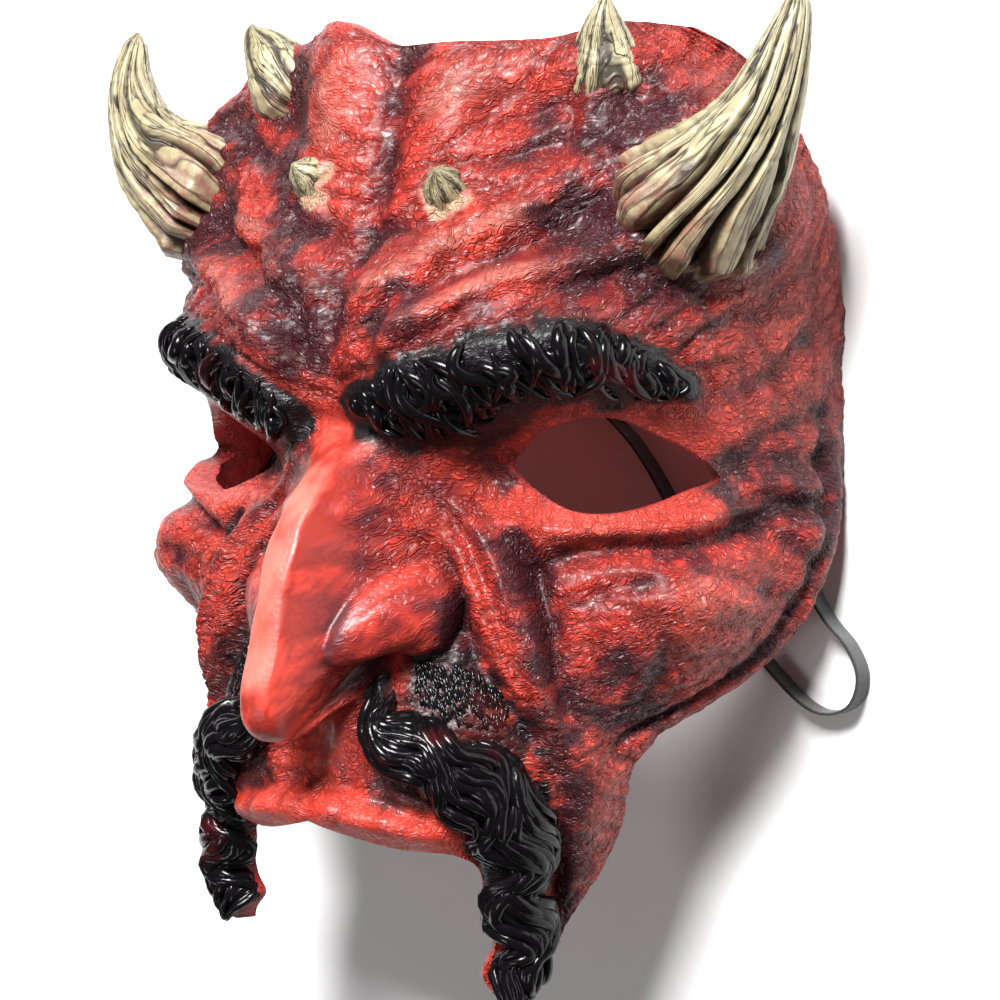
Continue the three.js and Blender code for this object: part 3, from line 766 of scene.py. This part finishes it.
# %% Middle lines of the horns
# Right (1) and left (-1), as points of (x from the middle, y, z, radius)
BIG_HORN = {
    1: [(58, 57, -46, 7), (70.5, 67, -39, 16.5), (82.5, 78, -37, 12), (89.5, 89, -37, 8),
        (93.5, 101, -38, 5.4), (95.5, 110.5, -39.5, 2.8), (95.5, 113.5, -39.7, 0.4)],
    -1: [(57, 61, -46, 7), (70, 71, -39, 15.5), (83.5, 81, -36, 11.5), (90.5, 90.5, -35.5, 7.6),
         (94.5, 101, -37, 5.2), (95.5, 110.5, -39.5, 2.8), (95, 113.5, -39.7, 0.4)],
}
SMALL_HORN = {
    1: [(45, 90, -47, 7), (47, 98, -40, 10.5), (48, 104.5, -37, 6.6), (49.5, 111.5, -34.5, 2.5),
        (50, 114.6, -34.3, 0.3)],
    -1: [(38, 90, -45, 7), (42, 97.5, -37, 11), (47, 104.5, -35, 7.2), (51.5, 110.5, -34, 2.9),
         (52.5, 113, -34.3, 0.3)],
}
NUB = {
    1: [(17, 65, -28, 8), (19.5, 69, -18, 6.6), (20.8, 72.5, -12.5, 4), (21.5, 74.5, -9.5, 0.6)],
    -1: [(15, 70, -26, 8), (17.5, 73, -16.5, 6.4), (18.5, 75, -11.5, 3.8), (19, 76.5, -8.8, 0.6)],
}


# %% Bend a cylinder into a fluted horn
def rod(sides, cuts):
    """An upright rod of radius 1 and length 1 with cuts along it."""
    bm = bmesh.new()
    bmesh.ops.create_cone(bm, cap_ends=True, segments=sides, radius1=1, radius2=1, depth=1)
    upright = [e for e in bm.edges if abs(e.verts[0].co.z - e.verts[1].co.z) > 0.5]
    bmesh.ops.subdivide_edges(bm, edges=upright, cuts=cuts, use_grid_fill=True)
    bmesh.ops.recalc_face_normals(bm, faces=bm.faces)
    return bm


def mark(piece, name, values, kind="FLOAT", field="value"):
    """Keeps a number, a vector or a colour for every corner of a piece."""
    made = piece.data.attributes.new(name, kind, "POINT")
    made.data.foreach_set(field, values.astype(np.float32).ravel())


def horn(name, line, side, sides, cuts, flutes, depth, toes, seed):
    steps = 600
    middle = line_through([(x * side, y, z) for x, y, z, _ in line], steps)
    along = unit(np.gradient(middle, axis=0))
    across = unit(np.cross(along, (0, 0, 1)))
    upward = np.cross(across, along)
    radius = np.interp(np.linspace(0, len(line) - 1, steps + 1), range(len(line)), [p[3] for p in line])
    stops = np.linspace(0, 1, steps + 1)
    marks = {}

    def shape(places):
        t = places[:, 2] + 0.5
        around = np.arctan2(places[:, 1], places[:, 0])
        ring = np.hypot(places[:, 0], places[:, 1])
        wander = 0.8 * noise(np.cos(around) * 1.3 + 9 * seed, np.sin(around) * 1.3 + t * 2.4, seed)
        turn = around / (2 * np.pi) * flutes + wander * (0.9 - 0.5 * t)
        from_groove = np.abs(turn - np.round(turn)) * 2
        ridge = smooth(0, 0.5 + 0.3 * noise(around * 2, t * 4, seed + 7), from_groove)
        small = noise(around * 5, t * 3.5, seed + 3)
        rings = bell(noise(t * 11, around * 1.3, seed + 5) / 0.14)
        relief = (ridge * 2 - 1.1) * (depth * np.sqrt(1 - t) * 0.6 + toes * (1 - smooth(0, 0.3, t)) * 0.5)
        relief = relief + 0.035 * small * (1 - t) - 0.03 * rings * (1 - 0.6 * t)
        r = np.interp(t, stops, radius) * ring * (1 + relief)
        marks["groove"] = ((1 - ridge) ** 1.5 + 0.35 * rings) * (1 - 0.6 * t)
        marks["t"] = t
        flow = around + 2 * np.pi * wander * (0.9 - 0.5 * t) / flutes
        marks["flow"] = np.stack([6 * np.cos(flow), 6 * np.sin(flow), 3.5 * t], 1)
        at = [np.stack([np.interp(t, stops, d[:, k]) for k in range(3)], 1) for d in (middle, across, upward)]
        return at[0] + at[1] * (r * np.cos(around))[:, None] + at[2] * (r * np.sin(around))[:, None]

    piece = reshaped(name, rod(sides, cuts), shape)
    mark(piece, "groove", marks["groove"])
    mark(piece, "t", marks["t"])
    mark(piece, "flow", marks["flow"], "FLOAT_VECTOR", "vector")
    return piece


# %% Cast the six horns
WORD = {1: "right", -1: "left"}
# Name, middle lines, sides and cuts of the rod, ridges, their depth, the toes' depth, seed
HORNS = [
    ("big_horn_", BIG_HORN, 168, 150, 13, 0.26, 0.3, 2), ("small_horn_", SMALL_HORN, 110, 80, 8, 0.08, 0, 6),
    ("horn_nub_", NUB, 72, 40, 7, 0.1, 0.04, 9),
]
behind = hollow("hollow_feet", -WALL / 2)
horns = [
    horn(name + WORD[side], lines[side], side, *form, seed + side)
    for side in (1, -1) for name, lines, *form, seed in HORNS
]
for piece in horns:
    cut_with(piece, behind, keep_tool=True)
    print(piece.name, triangles([piece]), "triangles")
bpy.data.objects.remove(behind)

# %% [markdown]
# ## Hair
#
# The brows and the moustache are sculpted as thick wet locks. A lock is a thin rod that is bent along
# a path on the skin. It sinks into the skin at its root and its tip, so it looks moulded
# on. All the locks of one brow or one half of the moustache are joined in one piece.

# %% Lay a lock along a path on the skin
LOCK_SIDES, LOCK_CUTS = 7, 17
bm = rod(LOCK_SIDES, LOCK_CUTS)
lock_mesh = bpy.data.meshes.new("lock")
bm.to_mesh(lock_mesh)
bm.free()
lock_places = np.array([v.co for v in lock_mesh.vertices])


def in_band(line, along, across, side):
    """Places of (s, y) in a hair band, along it from 0 to 1 and across it from -1 to 1."""
    fine = line_through(line, 300)
    step = np.linalg.norm(np.diff(fine[:, :2], axis=0), axis=1)
    way = np.concatenate([[0], np.cumsum(step)]) / step.sum()
    s, y, half = (np.interp(along, way, fine[:, k]) for k in range(3))
    ds, dy = (np.interp(along, way, np.gradient(fine[:, k])) for k in range(2))
    size = np.hypot(ds, dy)
    return side * (s - dy / size * half * across), y + ds / size * half * across


def locks(name, s, y, lift, radius):
    """One piece of many locks; every array holds a row for each lock."""
    steps = s.shape[1]
    p = skin(s, y, False)
    way_s = (skin(s + 0.4, y, False) - skin(s - 0.4, y, False)) * 1.25
    way_y = (skin(s, y + 0.4, False) - skin(s, y - 0.4, False)) * 1.25
    out = unit(np.cross(way_s, way_y))
    p = p + out * lift[..., None]
    way = unit(np.gradient(p, axis=1))
    wide = unit(np.cross(way, out))
    high = np.cross(wide, way)
    row = np.clip(np.round((lock_places[:, 2] + 0.5) * (steps - 1)).astype(int), 0, steps - 1)
    r = radius[:, row, None]
    places = p[:, row] + wide[:, row] * r * lock_places[:, 0, None]
    places = places + high[:, row] * r * lock_places[:, 1, None]
    bm = bmesh.new()
    for _ in range(len(s)):
        bm.from_mesh(lock_mesh)
    bmesh.ops.recalc_face_normals(bm, faces=bm.faces)
    piece = reshaped(name, bm, lambda _: places.reshape(-1, 3))
    piece.data.polygons.foreach_set("use_smooth", [True] * len(piece.data.polygons))
    print(name, len(s), "locks,", triangles([piece]), "triangles")
    return piece


# %% Comb the brows, the moustache and the stubble
# The places along a lock, and how thick it is there
t = np.linspace(0, 1, LOCK_CUTS + 2)[None, :]
TAPER = np.sqrt(np.clip(4 * t * (1 - t), 0.01, 1))


def draws(seed, count):
    """A source of random numbers, one for each of that many locks."""
    source = np.random.default_rng(seed)
    return lambda low, high: source.uniform(low, high, (count, 1))


def brow_locks(side, seed):
    chance = draws(seed, 105)
    start = np.sort(chance(0.0, 0.93), axis=0)
    high, low = chance(0.0, 0.95), chance(-1.05, -0.2)
    sweep, curl = chance(0.0, 0.09), chance(-0.06, 0.07)
    hook = chance(-0.02, 0.045) * smooth(0.55, 1, t)
    along = np.clip(start + sweep * t + curl * np.sin(np.pi * t * 1.4) + hook, 0, 1)
    across = high + (low - high) * (t - 0.12 * smooth(0.8, 1, t))
    s, y = in_band(BROW if side > 0 else BROW_LEFT, along, across, side)
    radius = chance(1.0, 2.5) * TAPER * (1 - 0.45 * t)
    lift = 0.1 + 1.8 * chance(0, 1) * np.sin(np.pi * t) ** 2
    return locks("brow_" + WORD[side], s, y, lift, radius)


def moustache_locks(side, seed):
    chance = draws(seed, 230)
    start, reach, across = chance(0.0, 0.86), chance(0.14, 0.3), chance(-0.9, 0.9)
    along = np.clip(start + reach * t, 0, 0.995)
    tail = smooth(0.42, 0.6, along)
    wave = np.sin(2 * np.pi * along * 5.5 + across * 1.6 + chance(-0.7, 0.7))
    fan = (0.7 - 1.5 * t) * (1 - tail) * 0.5
    swing = across * (1 - 0.2 * tail) + fan + (0.22 + 0.2 * tail) * wave
    s, y = in_band(MOUSTACHE, along, np.clip(swing, -1.12, 1.12), side)
    radius = chance(0.7, 2.1) * (1 - 0.35 * smooth(0.85, 1, along)) * TAPER * (1 - 0.25 * t)
    lift = 0.1 + 1.7 * chance(0, 1) * np.sin(np.pi * t)
    return locks("moustache_" + WORD[side], s, y, lift, radius)


def stubble_hairs(side, seed):
    chance = draws(seed, 260)
    turn, far = chance(0, 2 * np.pi), np.sqrt(chance(0, 1))
    s = 31.5 + 11 * far * np.cos(turn) + chance(-0.5, 2.2) * t
    y = -41.5 + 6 * far * np.sin(turn) - 0.35 * (s - 31) - chance(1.2, 3) * t
    radius = chance(0.35, 0.6) * TAPER
    return locks("stubble_" + WORD[side], side * s, y, 0.15 + 0 * s, radius)


hair = [brow_locks(1, 21), brow_locks(-1, 22), moustache_locks(1, 23), moustache_locks(-1, 24)]
hair += [stubble_hairs(1, 25), stubble_hairs(-1, 26)]

# %% [markdown]
# ## Where the paint goes
#
# The painter sprays the red latex with maroon and black in the valleys, a spray that also stands in
# for the shade there, paints the raised skin paler as painted sheen, darkens the creases of the
# wrinkles as painted shade, brushes the hair black and picks out the horns in bone. How much of each
# paint a place gets is worked out once for every corner of the mesh and kept in it as attributes.
# Each corner finds its own place on the face, its s and y, from the nearest place in a map of the
# whole face.

# %% A map from places in space to places on the face
MAP_STEPS = 420
down, across = np.meshgrid(np.linspace(0, 1, MAP_STEPS), np.linspace(-1, 1, MAP_STEPS), indexing="ij")
map_s, map_y = (a.ravel() for a in spread(across.ravel(), down.ravel()))
# The nose is steep, so it gets more places
nose_s, nose_y = np.meshgrid(np.arange(-31, 31, 0.3), np.arange(-62, 20, 0.3))
map_s, map_y = np.concatenate([map_s, nose_s.ravel()]), np.concatenate([map_y, nose_y.ravel()])
map_places = (skin(map_s, map_y) + np.array(PLACE)) * MM
tree = KDTree(len(map_places))
for i, place in enumerate(map_places):
    tree.insert(place, i)
tree.balance()
print("places in the map", len(map_places))

# %% Where the sprayer and the brush go
# Maroon and black along lines, airbrushed paint that also stands in for the shade in these folds: line,
# width, share
DARK_LINES = [
    (FROWN, 4, 0.75), (FOLD_INNER, 4, 0.7), (FOLD_OUTER, 3.5, 0.75), (NOSE_GROOVE, 3, 0.6),
    ([(16, 37), (36, 42), (58, 46), (80, 40)], 6, 0.6), ([(28, 20), (37, 6), (48, 6)], 6, 0.7),
    ([(86, 6), (104, 8), (126, 7)], 5, 0.8), ([(60, -62), (61, -84), (56, -97)], 5, 0.9),
    ([(46, 62), (58, 58), (76, 54), (92, 56)], 7, 0.95), ([(10, 6), (11, -8), (10, -22)], 5, 0.7),
    ([(12, 12), (20, 5), (30, -4), (37, -12), (42, -22), (47, -35), (54, -50)], 4, 0.55),
] + [(line, 3, 0.5) for line, _, _ in SMALL_CREASES]
# The same on one half only: the streaks down the middle of the forehead
DARK_STREAKS = [
    ([(2, 104), (3, 75), (4, 52), (-3, 36)], 5, 0.85), ([(-26, 98), (-22, 72), (-11, 48), (-7, 34)], 8, 0.95),
]
# Spots of the same, with painted shade in the nostril's hollow: middle, reach, share
DARK_SPOTS = [
    ((47, 65), (9, 6), 0.9), ((54, 91), (9, 7), 0.8), ((70, -41), (11, 8), 0.8), ((100, -34), (12, 7), 0.5),
    ((60, 72), (22, 16), 0.5), ((13, -35.5), (6, 3.5), 1.3), ((27, -38), (8, 8), 0.5),
    ((21, -24), (9, 8), 0.58), ((62, -34), (6, 5), 0.85), ((73, -46), (6, 4), 0.7),
    ((56, 84), (12, 10), 0.7), ((36, 88), (12, 9), 0.6), ((58, 16), (26, 8), 0.35),
]
STUBBLE_SPOTS = [((30, -43), (12, 8), 1.3), ((44, -54), (8, 6), 0.8), ((24, -64), (12, 6), 0.95)]
BONE_SPOTS = [((19, 67), (8, 5.5), 1.0), ((-13, 71), (5, 8), 1.0), ((84, 54), (14, 4), 0.9)]
# Painted sheen: paler skin on the ridges, the cheek tops, the brow and the lobes of the forehead
SHEEN_LINES = [(RIDGE_HIGH, 4, 0.42), (RIDGE_LOW, 3.5, 0.4)]
SHEEN_SPOTS = [((80, -20), (15, 9), 0.34), ((62, 42), (20, 5), 0.3)]
SHEEN_LOBES = [((-13, 92), (8, 16), 0.42), ((15, 92), (9, 13), 0.36)]


# %% Work out the paint of every place
def along_lines(s, y, rows):
    return sum(share * bell(nearest(s, y, line)[0] / width) for line, width, share in rows)


def paint_at(s, y):
    """Shares of dark spray with painted shade, black hair paint, bone paint with painted sheen and painted
    crease shade at a place.
    """
    q = np.abs(s)
    rough = noise(s * 0.16, y * 0.16, 31) + 0.5 * noise(s * 0.4, y * 0.4, 33)
    # Dark spray: airbrushed maroon paint in the valleys that also stands in for their shade, and painted
    # shade in the nostril, under the eye bag and in the seam by the rim
    dark = along_lines(q, y, DARK_LINES) + along_lines(s, y, DARK_STREAKS) + heaped(q, y, DARK_SPOTS)
    dark += along_lines(q, bag_y(s, y), [(BAG_FOLD, 4.5, 0.75)])
    dark += cheek_rim(y) * 0.9 * bell((RIM(y)[0] - q - SEAM) / 3)
    # The temples and the upper edge are a little darker
    dark += 0.2 * smooth(84, 116, q) * smooth(-60, -20, y) + 0.3 * smooth(108, 130, q)
    dark += 0.3 * smooth(92, 104, y)
    black = np.zeros_like(q)
    for side, line, _ in HAIR_BANDS:
        across = np.abs(band_place(side * s, y, line)[0])
        black = np.maximum(black, smooth(1.3, 0.95, across + 0.25 * rough))
    stubble = heaped(q, y, STUBBLE_SPOTS)
    black = np.maximum(black, smooth(0.25, 0.65, stubble + 0.3 * rough) * 0.9)
    bone_and_sheen = smooth(0.35, 0.9, heaped(s, y, BONE_SPOTS) + 0.4 * rough)
    # Painted sheen: raised skin is painted paler, and the crest of the nose most of all
    painted_sheen = 0.52 * np.exp(-((q / 4.6) ** 4)) * smooth(14, 4, y) * smooth(-28, -22, y)
    painted_sheen += along_lines(q, y, SHEEN_LINES) + heaped(q, y, SHEEN_SPOTS) + heaped(s, y, SHEEN_LOBES)
    painted_sheen = np.clip(painted_sheen * (1 + 0.5 * rough), 0, 0.6)
    # Painted shade: the creases of the wrinkles are darkened
    crease = np.clip(-wrinkles(s, y) / 0.5, 0, 1)
    return np.clip(dark * (0.8 + 0.6 * rough), 0, 1), black, np.maximum(bone_and_sheen, painted_sheen), crease


corners = np.empty(len(face.data.vertices) * 3)
face.data.vertices.foreach_get("co", corners)
found = [tree.find(place) for place in corners.reshape(-1, 3)]
face_index = np.array([f[1] for f in found])
face_depth = np.array([f[2] for f in found]) / MM
face_s, face_y = map_s[face_index], map_y[face_index]
# The third share is bone paint together with painted sheen
dark, black, bone_and_sheen, crease = paint_at(face_s, face_y)
# A corner far from the outer skin lies on the inside
inner = smooth(0.8, 1.4, face_depth)
mark(face, "paint", np.stack([dark, black, bone_and_sheen, np.ones_like(dark)], 1), "FLOAT_COLOR", "color")
across_nose = np.abs(face_s) / NOSE_WIDTH(face_y)[1]
on_nose = smooth(24, 17, face_y) * smooth(-66, -58, face_y) * (1 - smooth(0.3, 0.7, across_nose))
on_lip = smooth(-64, -68, face_y) * smooth(38, 30, np.abs(face_s))
# Fine lines are left out on the nose, and are weaker on its wings, the lip and under the hair paint
lined = (1 - on_nose) * (1 - 0.8 * lump(np.abs(face_s), face_y, WING, WING_REACH))
lined = lined * (1 - 0.5 * on_lip) * (1 - 0.6 * black)
mark(face, "crease", crease)
mark(face, "inner", inner)
mark(face, "upper", smooth(12, 30, face_y))
mark(face, "lined", lined)
face_uv = face.data.uv_layers.new(name="face")
loops = np.empty(len(face.data.loops), np.int32)
face.data.loops.foreach_get("vertex_index", loops)
face_uv.data.foreach_set("uv", np.stack([np.abs(face_s), face_y], 1)[loops].astype(np.float32).ravel())
print("painted corners", len(face_s), "of which inside", int((inner > 0.5).sum()))

# %% [markdown]
# ## Finishes
#
# A material is a small network of nodes. Noise breaks up each coat of paint, because a sprayer and
# a brush never cover evenly, and bump adds the pores that are too fine for the mesh. Latex and the
# hair's paint are glossy, the horns are half matt with a brown wash in their grooves that also
# stands in for the shade there.


# %% Helpers to lay out nodes
def put(nodes, kind, inputs=None, **settings):
    made = nodes.nodes.new("ShaderNode" + kind)
    for name, value in settings.items():
        setattr(made, name, value)
    for name, value in (inputs or {}).items():
        if isinstance(value, bpy.types.NodeSocket):
            nodes.links.new(value, made.inputs[name])
        else:
            made.inputs[name].default_value = value
    return made


def mixed(nodes, share, a, b):
    """Colour a with that share of colour b over it."""
    return put(nodes, "Mix", {0: share, 6: a, 7: b}, data_type="RGBA").outputs[2]


def maths(nodes, operation, a, b=0.0):
    return put(nodes, "Math", {0: a, 1: b}, operation=operation, use_clamp=True).outputs[0]


def ranged(nodes, value, low, high, to_low=0.0, to_high=1.0):
    inputs = {"Value": value, "From Min": low, "From Max": high, "To Min": to_low, "To Max": to_high}
    return put(nodes, "MapRange", inputs, clamp=True).outputs["Result"]


def noisy(nodes, vector, scale, detail=3.0, rough=0.55):
    inputs = {"Vector": vector, "Scale": scale, "Detail": detail, "Roughness": rough}
    return put(nodes, "TexNoise", inputs).outputs["Fac"]


# %% Marks on the skin
def laid(nodes, vector, long, short, turn):
    """Coordinates in which a mark of that length and width, turned that far, is one unit."""
    inputs = {"Vector": vector, "Scale": (long, short, 1), "Rotation": (0, 0, math.radians(turn))}
    return put(nodes, "Mapping", inputs, vector_type="TEXTURE").outputs[0]


def wavy_lines(nodes, vector, width=0.07):
    """Thin wandering lines: 0 on a line and 1 between them."""
    cloud = noisy(nodes, vector, 1.0, 2.0, 0.6)
    return ranged(nodes, maths(nodes, "PINGPONG", cloud, 0.5), 0.5, 0.5 - width)


def pads(nodes, vector):
    """Small pads of skin with fine creases round them: 0 in a crease, 1 on a pad."""
    cells = put(nodes, "TexVoronoi", {"Vector": vector, "Scale": 1.0}, feature="DISTANCE_TO_EDGE")
    return ranged(nodes, cells.outputs["Distance"], 0.0, 0.2)


# %% A new finish, and how it is wired
def new_finish(name, **surface):
    """A material with its network, its surface shader and the Object coordinates."""
    material = bpy.data.materials.new(name)
    material.use_nodes = True
    nodes = material.node_tree
    shader = nodes.nodes["Principled BSDF"]
    for socket, value in surface.items():
        shader.inputs[socket.replace("_", " ")].default_value = value
    return material, nodes, shader, put(nodes, "TexCoord").outputs["Object"]


def dress(nodes, shader, colour, roughness, *bumps):
    """Wires a colour, a roughness and bumps, each one (height, strength, metres, inverted)."""
    nodes.links.new(colour, shader.inputs["Base Color"])
    nodes.links.new(roughness, shader.inputs["Roughness"])
    below = {}
    for height, strength, metres, inverted in bumps:
        inputs = {"Height": height, "Strength": strength, "Distance": metres, **below}
        below = {"Normal": put(nodes, "Bump", inputs, invert=inverted).outputs[0]}
    nodes.links.new(below["Normal"], shader.inputs["Normal"])


def attribute(nodes, name, output="Fac"):
    return put(nodes, "Attribute", attribute_name=name).outputs[output]


# %% Red latex
DEEP_RED, BRIGHT_RED, INSIDE_RED = (0.50, 0.032, 0.019, 1), (0.64, 0.060, 0.038, 1), (0.30, 0.016, 0.014, 1)
# Colours of painted shade in creases and fine lines, and of painted sheen on raised skin
CREASE_SHADE, LINE_SHADE, SHEEN_PINK = (0.09, 0.006, 0.004, 1), (0.06, 0.004, 0.003, 1), (0.52, 0.18, 0.14, 1)
MAROON, NEAR_BLACK = (0.085, 0.009, 0.012, 1), (0.010, 0.003, 0.006, 1)
BONE_TINT, HAIR_BLACK = (0.30, 0.18, 0.11, 1), (0.004, 0.003, 0.004, 1)
LINE_DEPTH, PORE_DEPTH = 0.00042, 0.0003
latex, nodes, shader, place = new_finish(
    "red_latex", Coat_Weight=0.1, Coat_Roughness=0.3, Specular_IOR_Level=0.3
)
uv = put(nodes, "UVMap", uv_map="face").outputs["UV"]
# The paint attribute holds dark spray with painted shade, black hair paint, and bone paint with painted sheen
paint = put(nodes, "SeparateColor", {"Color": attribute(nodes, "paint", "Color")})
dark_spray_and_shade, brushed_black, bone_and_sheen_share = paint.outputs
cloud = noisy(nodes, place, 42, 4)
speck = noisy(nodes, place, 420, 3, 0.65)
bend = put(nodes, "TexNoise", {"Vector": place, "Scale": 110.0, "Detail": 2.0}).outputs["Color"]
skewed = put(nodes, "VectorMath", {0: bend, 1: (9, 9, 0), 2: uv}, operation="MULTIPLY_ADD").outputs[0]
high = wavy_lines(nodes, laid(nodes, skewed, 5, 1.5, 27))
low = wavy_lines(nodes, laid(nodes, skewed, 4.5, 1.5, -22))
long_lines = put(nodes, "Mix", {0: attribute(nodes, "upper"), 2: low, 3: high}, data_type="FLOAT").outputs[0]
lines = maths(nodes, "MULTIPLY", long_lines, pads(nodes, laid(nodes, skewed, 1.9, 1.2, 20)))
depth = maths(nodes, "MULTIPLY", maths(nodes, "SUBTRACT", 1.0, lines), attribute(nodes, "lined"))
red = mixed(nodes, ranged(nodes, cloud, 0.35, 0.65), DEEP_RED, BRIGHT_RED)
# Painted shade in the creases of the wrinkles
crease_shade = maths(nodes, "MULTIPLY", attribute(nodes, "crease"), 0.66)
red = mixed(nodes, crease_shade, red, CREASE_SHADE)
# Painted shade along the fine lines of the skin
red = mixed(nodes, maths(nodes, "MULTIPLY", depth, 0.55), red, LINE_SHADE)
# Painted sheen on raised skin in pink, which also edges the bone paint
red = mixed(nodes, ranged(nodes, bone_and_sheen_share, 0.2, 0.85), red, SHEEN_PINK)
# Airbrushed paint and painted shade: maroon, then near black where the dark spray is strongest
spray_and_shade = maths(nodes, "ADD", dark_spray_and_shade, maths(nodes, "MULTIPLY", speck, 0.2))
red = mixed(nodes, ranged(nodes, spray_and_shade, 0.27, 0.72, 0, 0.85), red, MAROON)
red = mixed(nodes, ranged(nodes, spray_and_shade, 0.6, 1.1, 0, 0.9), red, NEAR_BLACK)
red = mixed(nodes, ranged(nodes, bone_and_sheen_share, 0.6, 0.9), red, BONE_TINT)
red = mixed(nodes, brushed_black, red, HAIR_BLACK)
red = mixed(nodes, attribute(nodes, "inner"), red, INSIDE_RED)
pores = put(nodes, "TexVoronoi", {"Vector": place, "Scale": 900}, feature="SMOOTH_F1").outputs["Distance"]
rough = ranged(nodes, speck, 0.3, 0.7, 0.32, 0.5)
dress(nodes, shader, red, rough, (depth, 1.0, LINE_DEPTH, True), (pores, 0.3, PORE_DEPTH, False))
print("latex nodes", len(nodes.nodes))

# %% Painted horn
BONE_DARK, BONE_LIGHT = (0.185, 0.152, 0.075, 1), (0.37, 0.325, 0.20, 1)
# Near black brown: a wash in the grooves that also stands in for their shade
GROOVE_WASH_AND_SHADE, FOOT_TINT = (0.020, 0.013, 0.007, 1), (0.16, 0.05, 0.035, 1)
bone_paint, nodes, shader, place = new_finish("painted_horn", Coat_Weight=0.1, Coat_Roughness=0.35)
streak = noisy(nodes, place, 60, 4)
grain = noisy(nodes, place, 380, 4, 0.65)
colour = mixed(nodes, ranged(nodes, streak, 0.3, 0.7), BONE_DARK, BONE_LIGHT)
fine_grooves = wavy_lines(nodes, attribute(nodes, "flow", "Vector"), 0.05)
# A dark wash in the fine grooves and the grooves between ridges, which also stands in for their shade
fine_wash_and_shade = maths(nodes, "MULTIPLY", maths(nodes, "SUBTRACT", 1.0, fine_grooves), 0.6)
wash_and_shade = maths(nodes, "ADD", attribute(nodes, "groove"), maths(nodes, "MULTIPLY", grain, 0.3))
wash_and_shade = maths(nodes, "ADD", wash_and_shade, fine_wash_and_shade)
colour = mixed(nodes, ranged(nodes, wash_and_shade, 0.25, 0.8, 0, 0.95), colour, GROOVE_WASH_AND_SHADE)
foot = ranged(nodes, attribute(nodes, "t"), 0.34, 0.12)
colour = mixed(nodes, maths(nodes, "MULTIPLY", foot, ranged(nodes, grain, 0.4, 0.6)), colour, FOOT_TINT)
rough = ranged(nodes, grain, 0.3, 0.7, 0.38, 0.6)
dress(nodes, shader, colour, rough, (fine_grooves, 0.7, 0.0005, False), (grain, 0.35, 0.0005, False))
print("horn nodes", len(nodes.nodes))

# %% Black hair paint
hair_paint, nodes, shader, place = new_finish("black_hair_paint", Specular_IOR_Level=0.2)
grain = noisy(nodes, place, 500, 3)
patch = noisy(nodes, place, 55, 3)
colour = mixed(nodes, ranged(nodes, patch, 0.62, 0.72), (0.003, 0.0025, 0.003, 1), (0.03, 0.003, 0.004, 1))
dress(nodes, shader, colour, ranged(nodes, grain, 0.3, 0.7, 0.12, 0.26), (grain, 0.25, 0.0003, False))
print("hair nodes", len(nodes.nodes))

# %% Black elastic
elastic, nodes, shader, place = new_finish("black_elastic", Sheen_Weight=0.3, Sheen_Roughness=0.5)
band = put(nodes, "UVMap", uv_map="band").outputs["UV"]
weft = put(nodes, "TexWave", {"Vector": band, "Scale": 1.3, "Distortion": 0.4}, bands_direction="X")
warp = put(nodes, "TexWave", {"Vector": band, "Scale": 0.75, "Distortion": 0.2}, bands_direction="Y")
weave = maths(nodes, "MULTIPLY", weft.outputs["Fac"], warp.outputs["Fac"])
colour = mixed(nodes, weave, (0.004, 0.004, 0.004, 1), (0.022, 0.021, 0.022, 1))
rough = ranged(nodes, noisy(nodes, place, 800), 0.3, 0.7, 0.7, 0.9)
dress(nodes, shader, colour, rough, (weave, 0.7, 0.0002, False))
print("elastic nodes", len(nodes.nodes))

# %% Give every piece its finish and its place on the body
SHARP = math.radians(80)
finishes = [(face, latex), (strap, elastic)]
finishes += [(piece, bone_paint) for piece in horns] + [(piece, hair_paint) for piece in hair]
for piece, finish in finishes:
    piece.data.materials.clear()
    piece.data.materials.append(finish)
    piece.data.polygons.foreach_set("use_smooth", [True] * len(piece.data.polygons))
    piece.data.set_sharp_from_angle(angle=SHARP)
for piece in [face] + horns + hair:
    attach(piece, "root")
    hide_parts("mask_shell")
print("triangles in all", triangles([face, strap] + horns + hair))

# %% [markdown]
# ## Floor and light
#
# A plain pale floor and soft square lamps, as in a small studio: one large lamp to the upper left
# of the camera gives the long gloss along the nose, and two weak ones fill the right side and the
# underside.

# %% Floor, lamps and sky
bm = bmesh.new()
bmesh.ops.create_grid(bm, x_segments=1, y_segments=1, size=4)
floor = finished("floor", bm)
floor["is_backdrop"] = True
paper, nodes, shader, place = new_finish("floor_paper", Roughness=0.9)
shader.inputs["Base Color"].default_value = (0.82, 0.82, 0.82, 1)
floor.data.materials.append(paper)

target = (PLACE + Vector((20, 0, -20))) * MM


def lamp(name, away, size, power):
    """A square lamp at a place given in camera directions: right, up and back, in metres."""
    light = bpy.data.lights.new(name, "AREA")
    light.size, light.energy = size, power
    made = bpy.data.objects.new(name, light)
    made.location = target + right * away[0] + up * away[1] + back * away[2]
    made.rotation_mode = "QUATERNION"
    made.rotation_quaternion = (target - made.location).to_track_quat("-Z", "Y")
    bpy.context.collection.objects.link(made)


lamp("key", (-0.45, 0.75, 0.85), 0.45, 51)
lamp("fill", (0.9, 0.3, 0.7), 0.5, 3)
lamp("low", (-0.8, -0.6, 0.6), 0.3, 3)
bpy.context.scene.view_settings.view_transform = "Standard"
world = bpy.data.worlds.new("sky")
world.use_nodes = True
world.node_tree.nodes["Background"].inputs["Color"].default_value = (1, 1, 1, 1)
world.node_tree.nodes["Background"].inputs["Strength"].default_value = 0.09
bpy.context.scene.world = world

# %% Sizes of the whole scene
low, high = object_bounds()
print("scene box", [round(v, 4) for v in (*low, *high)])
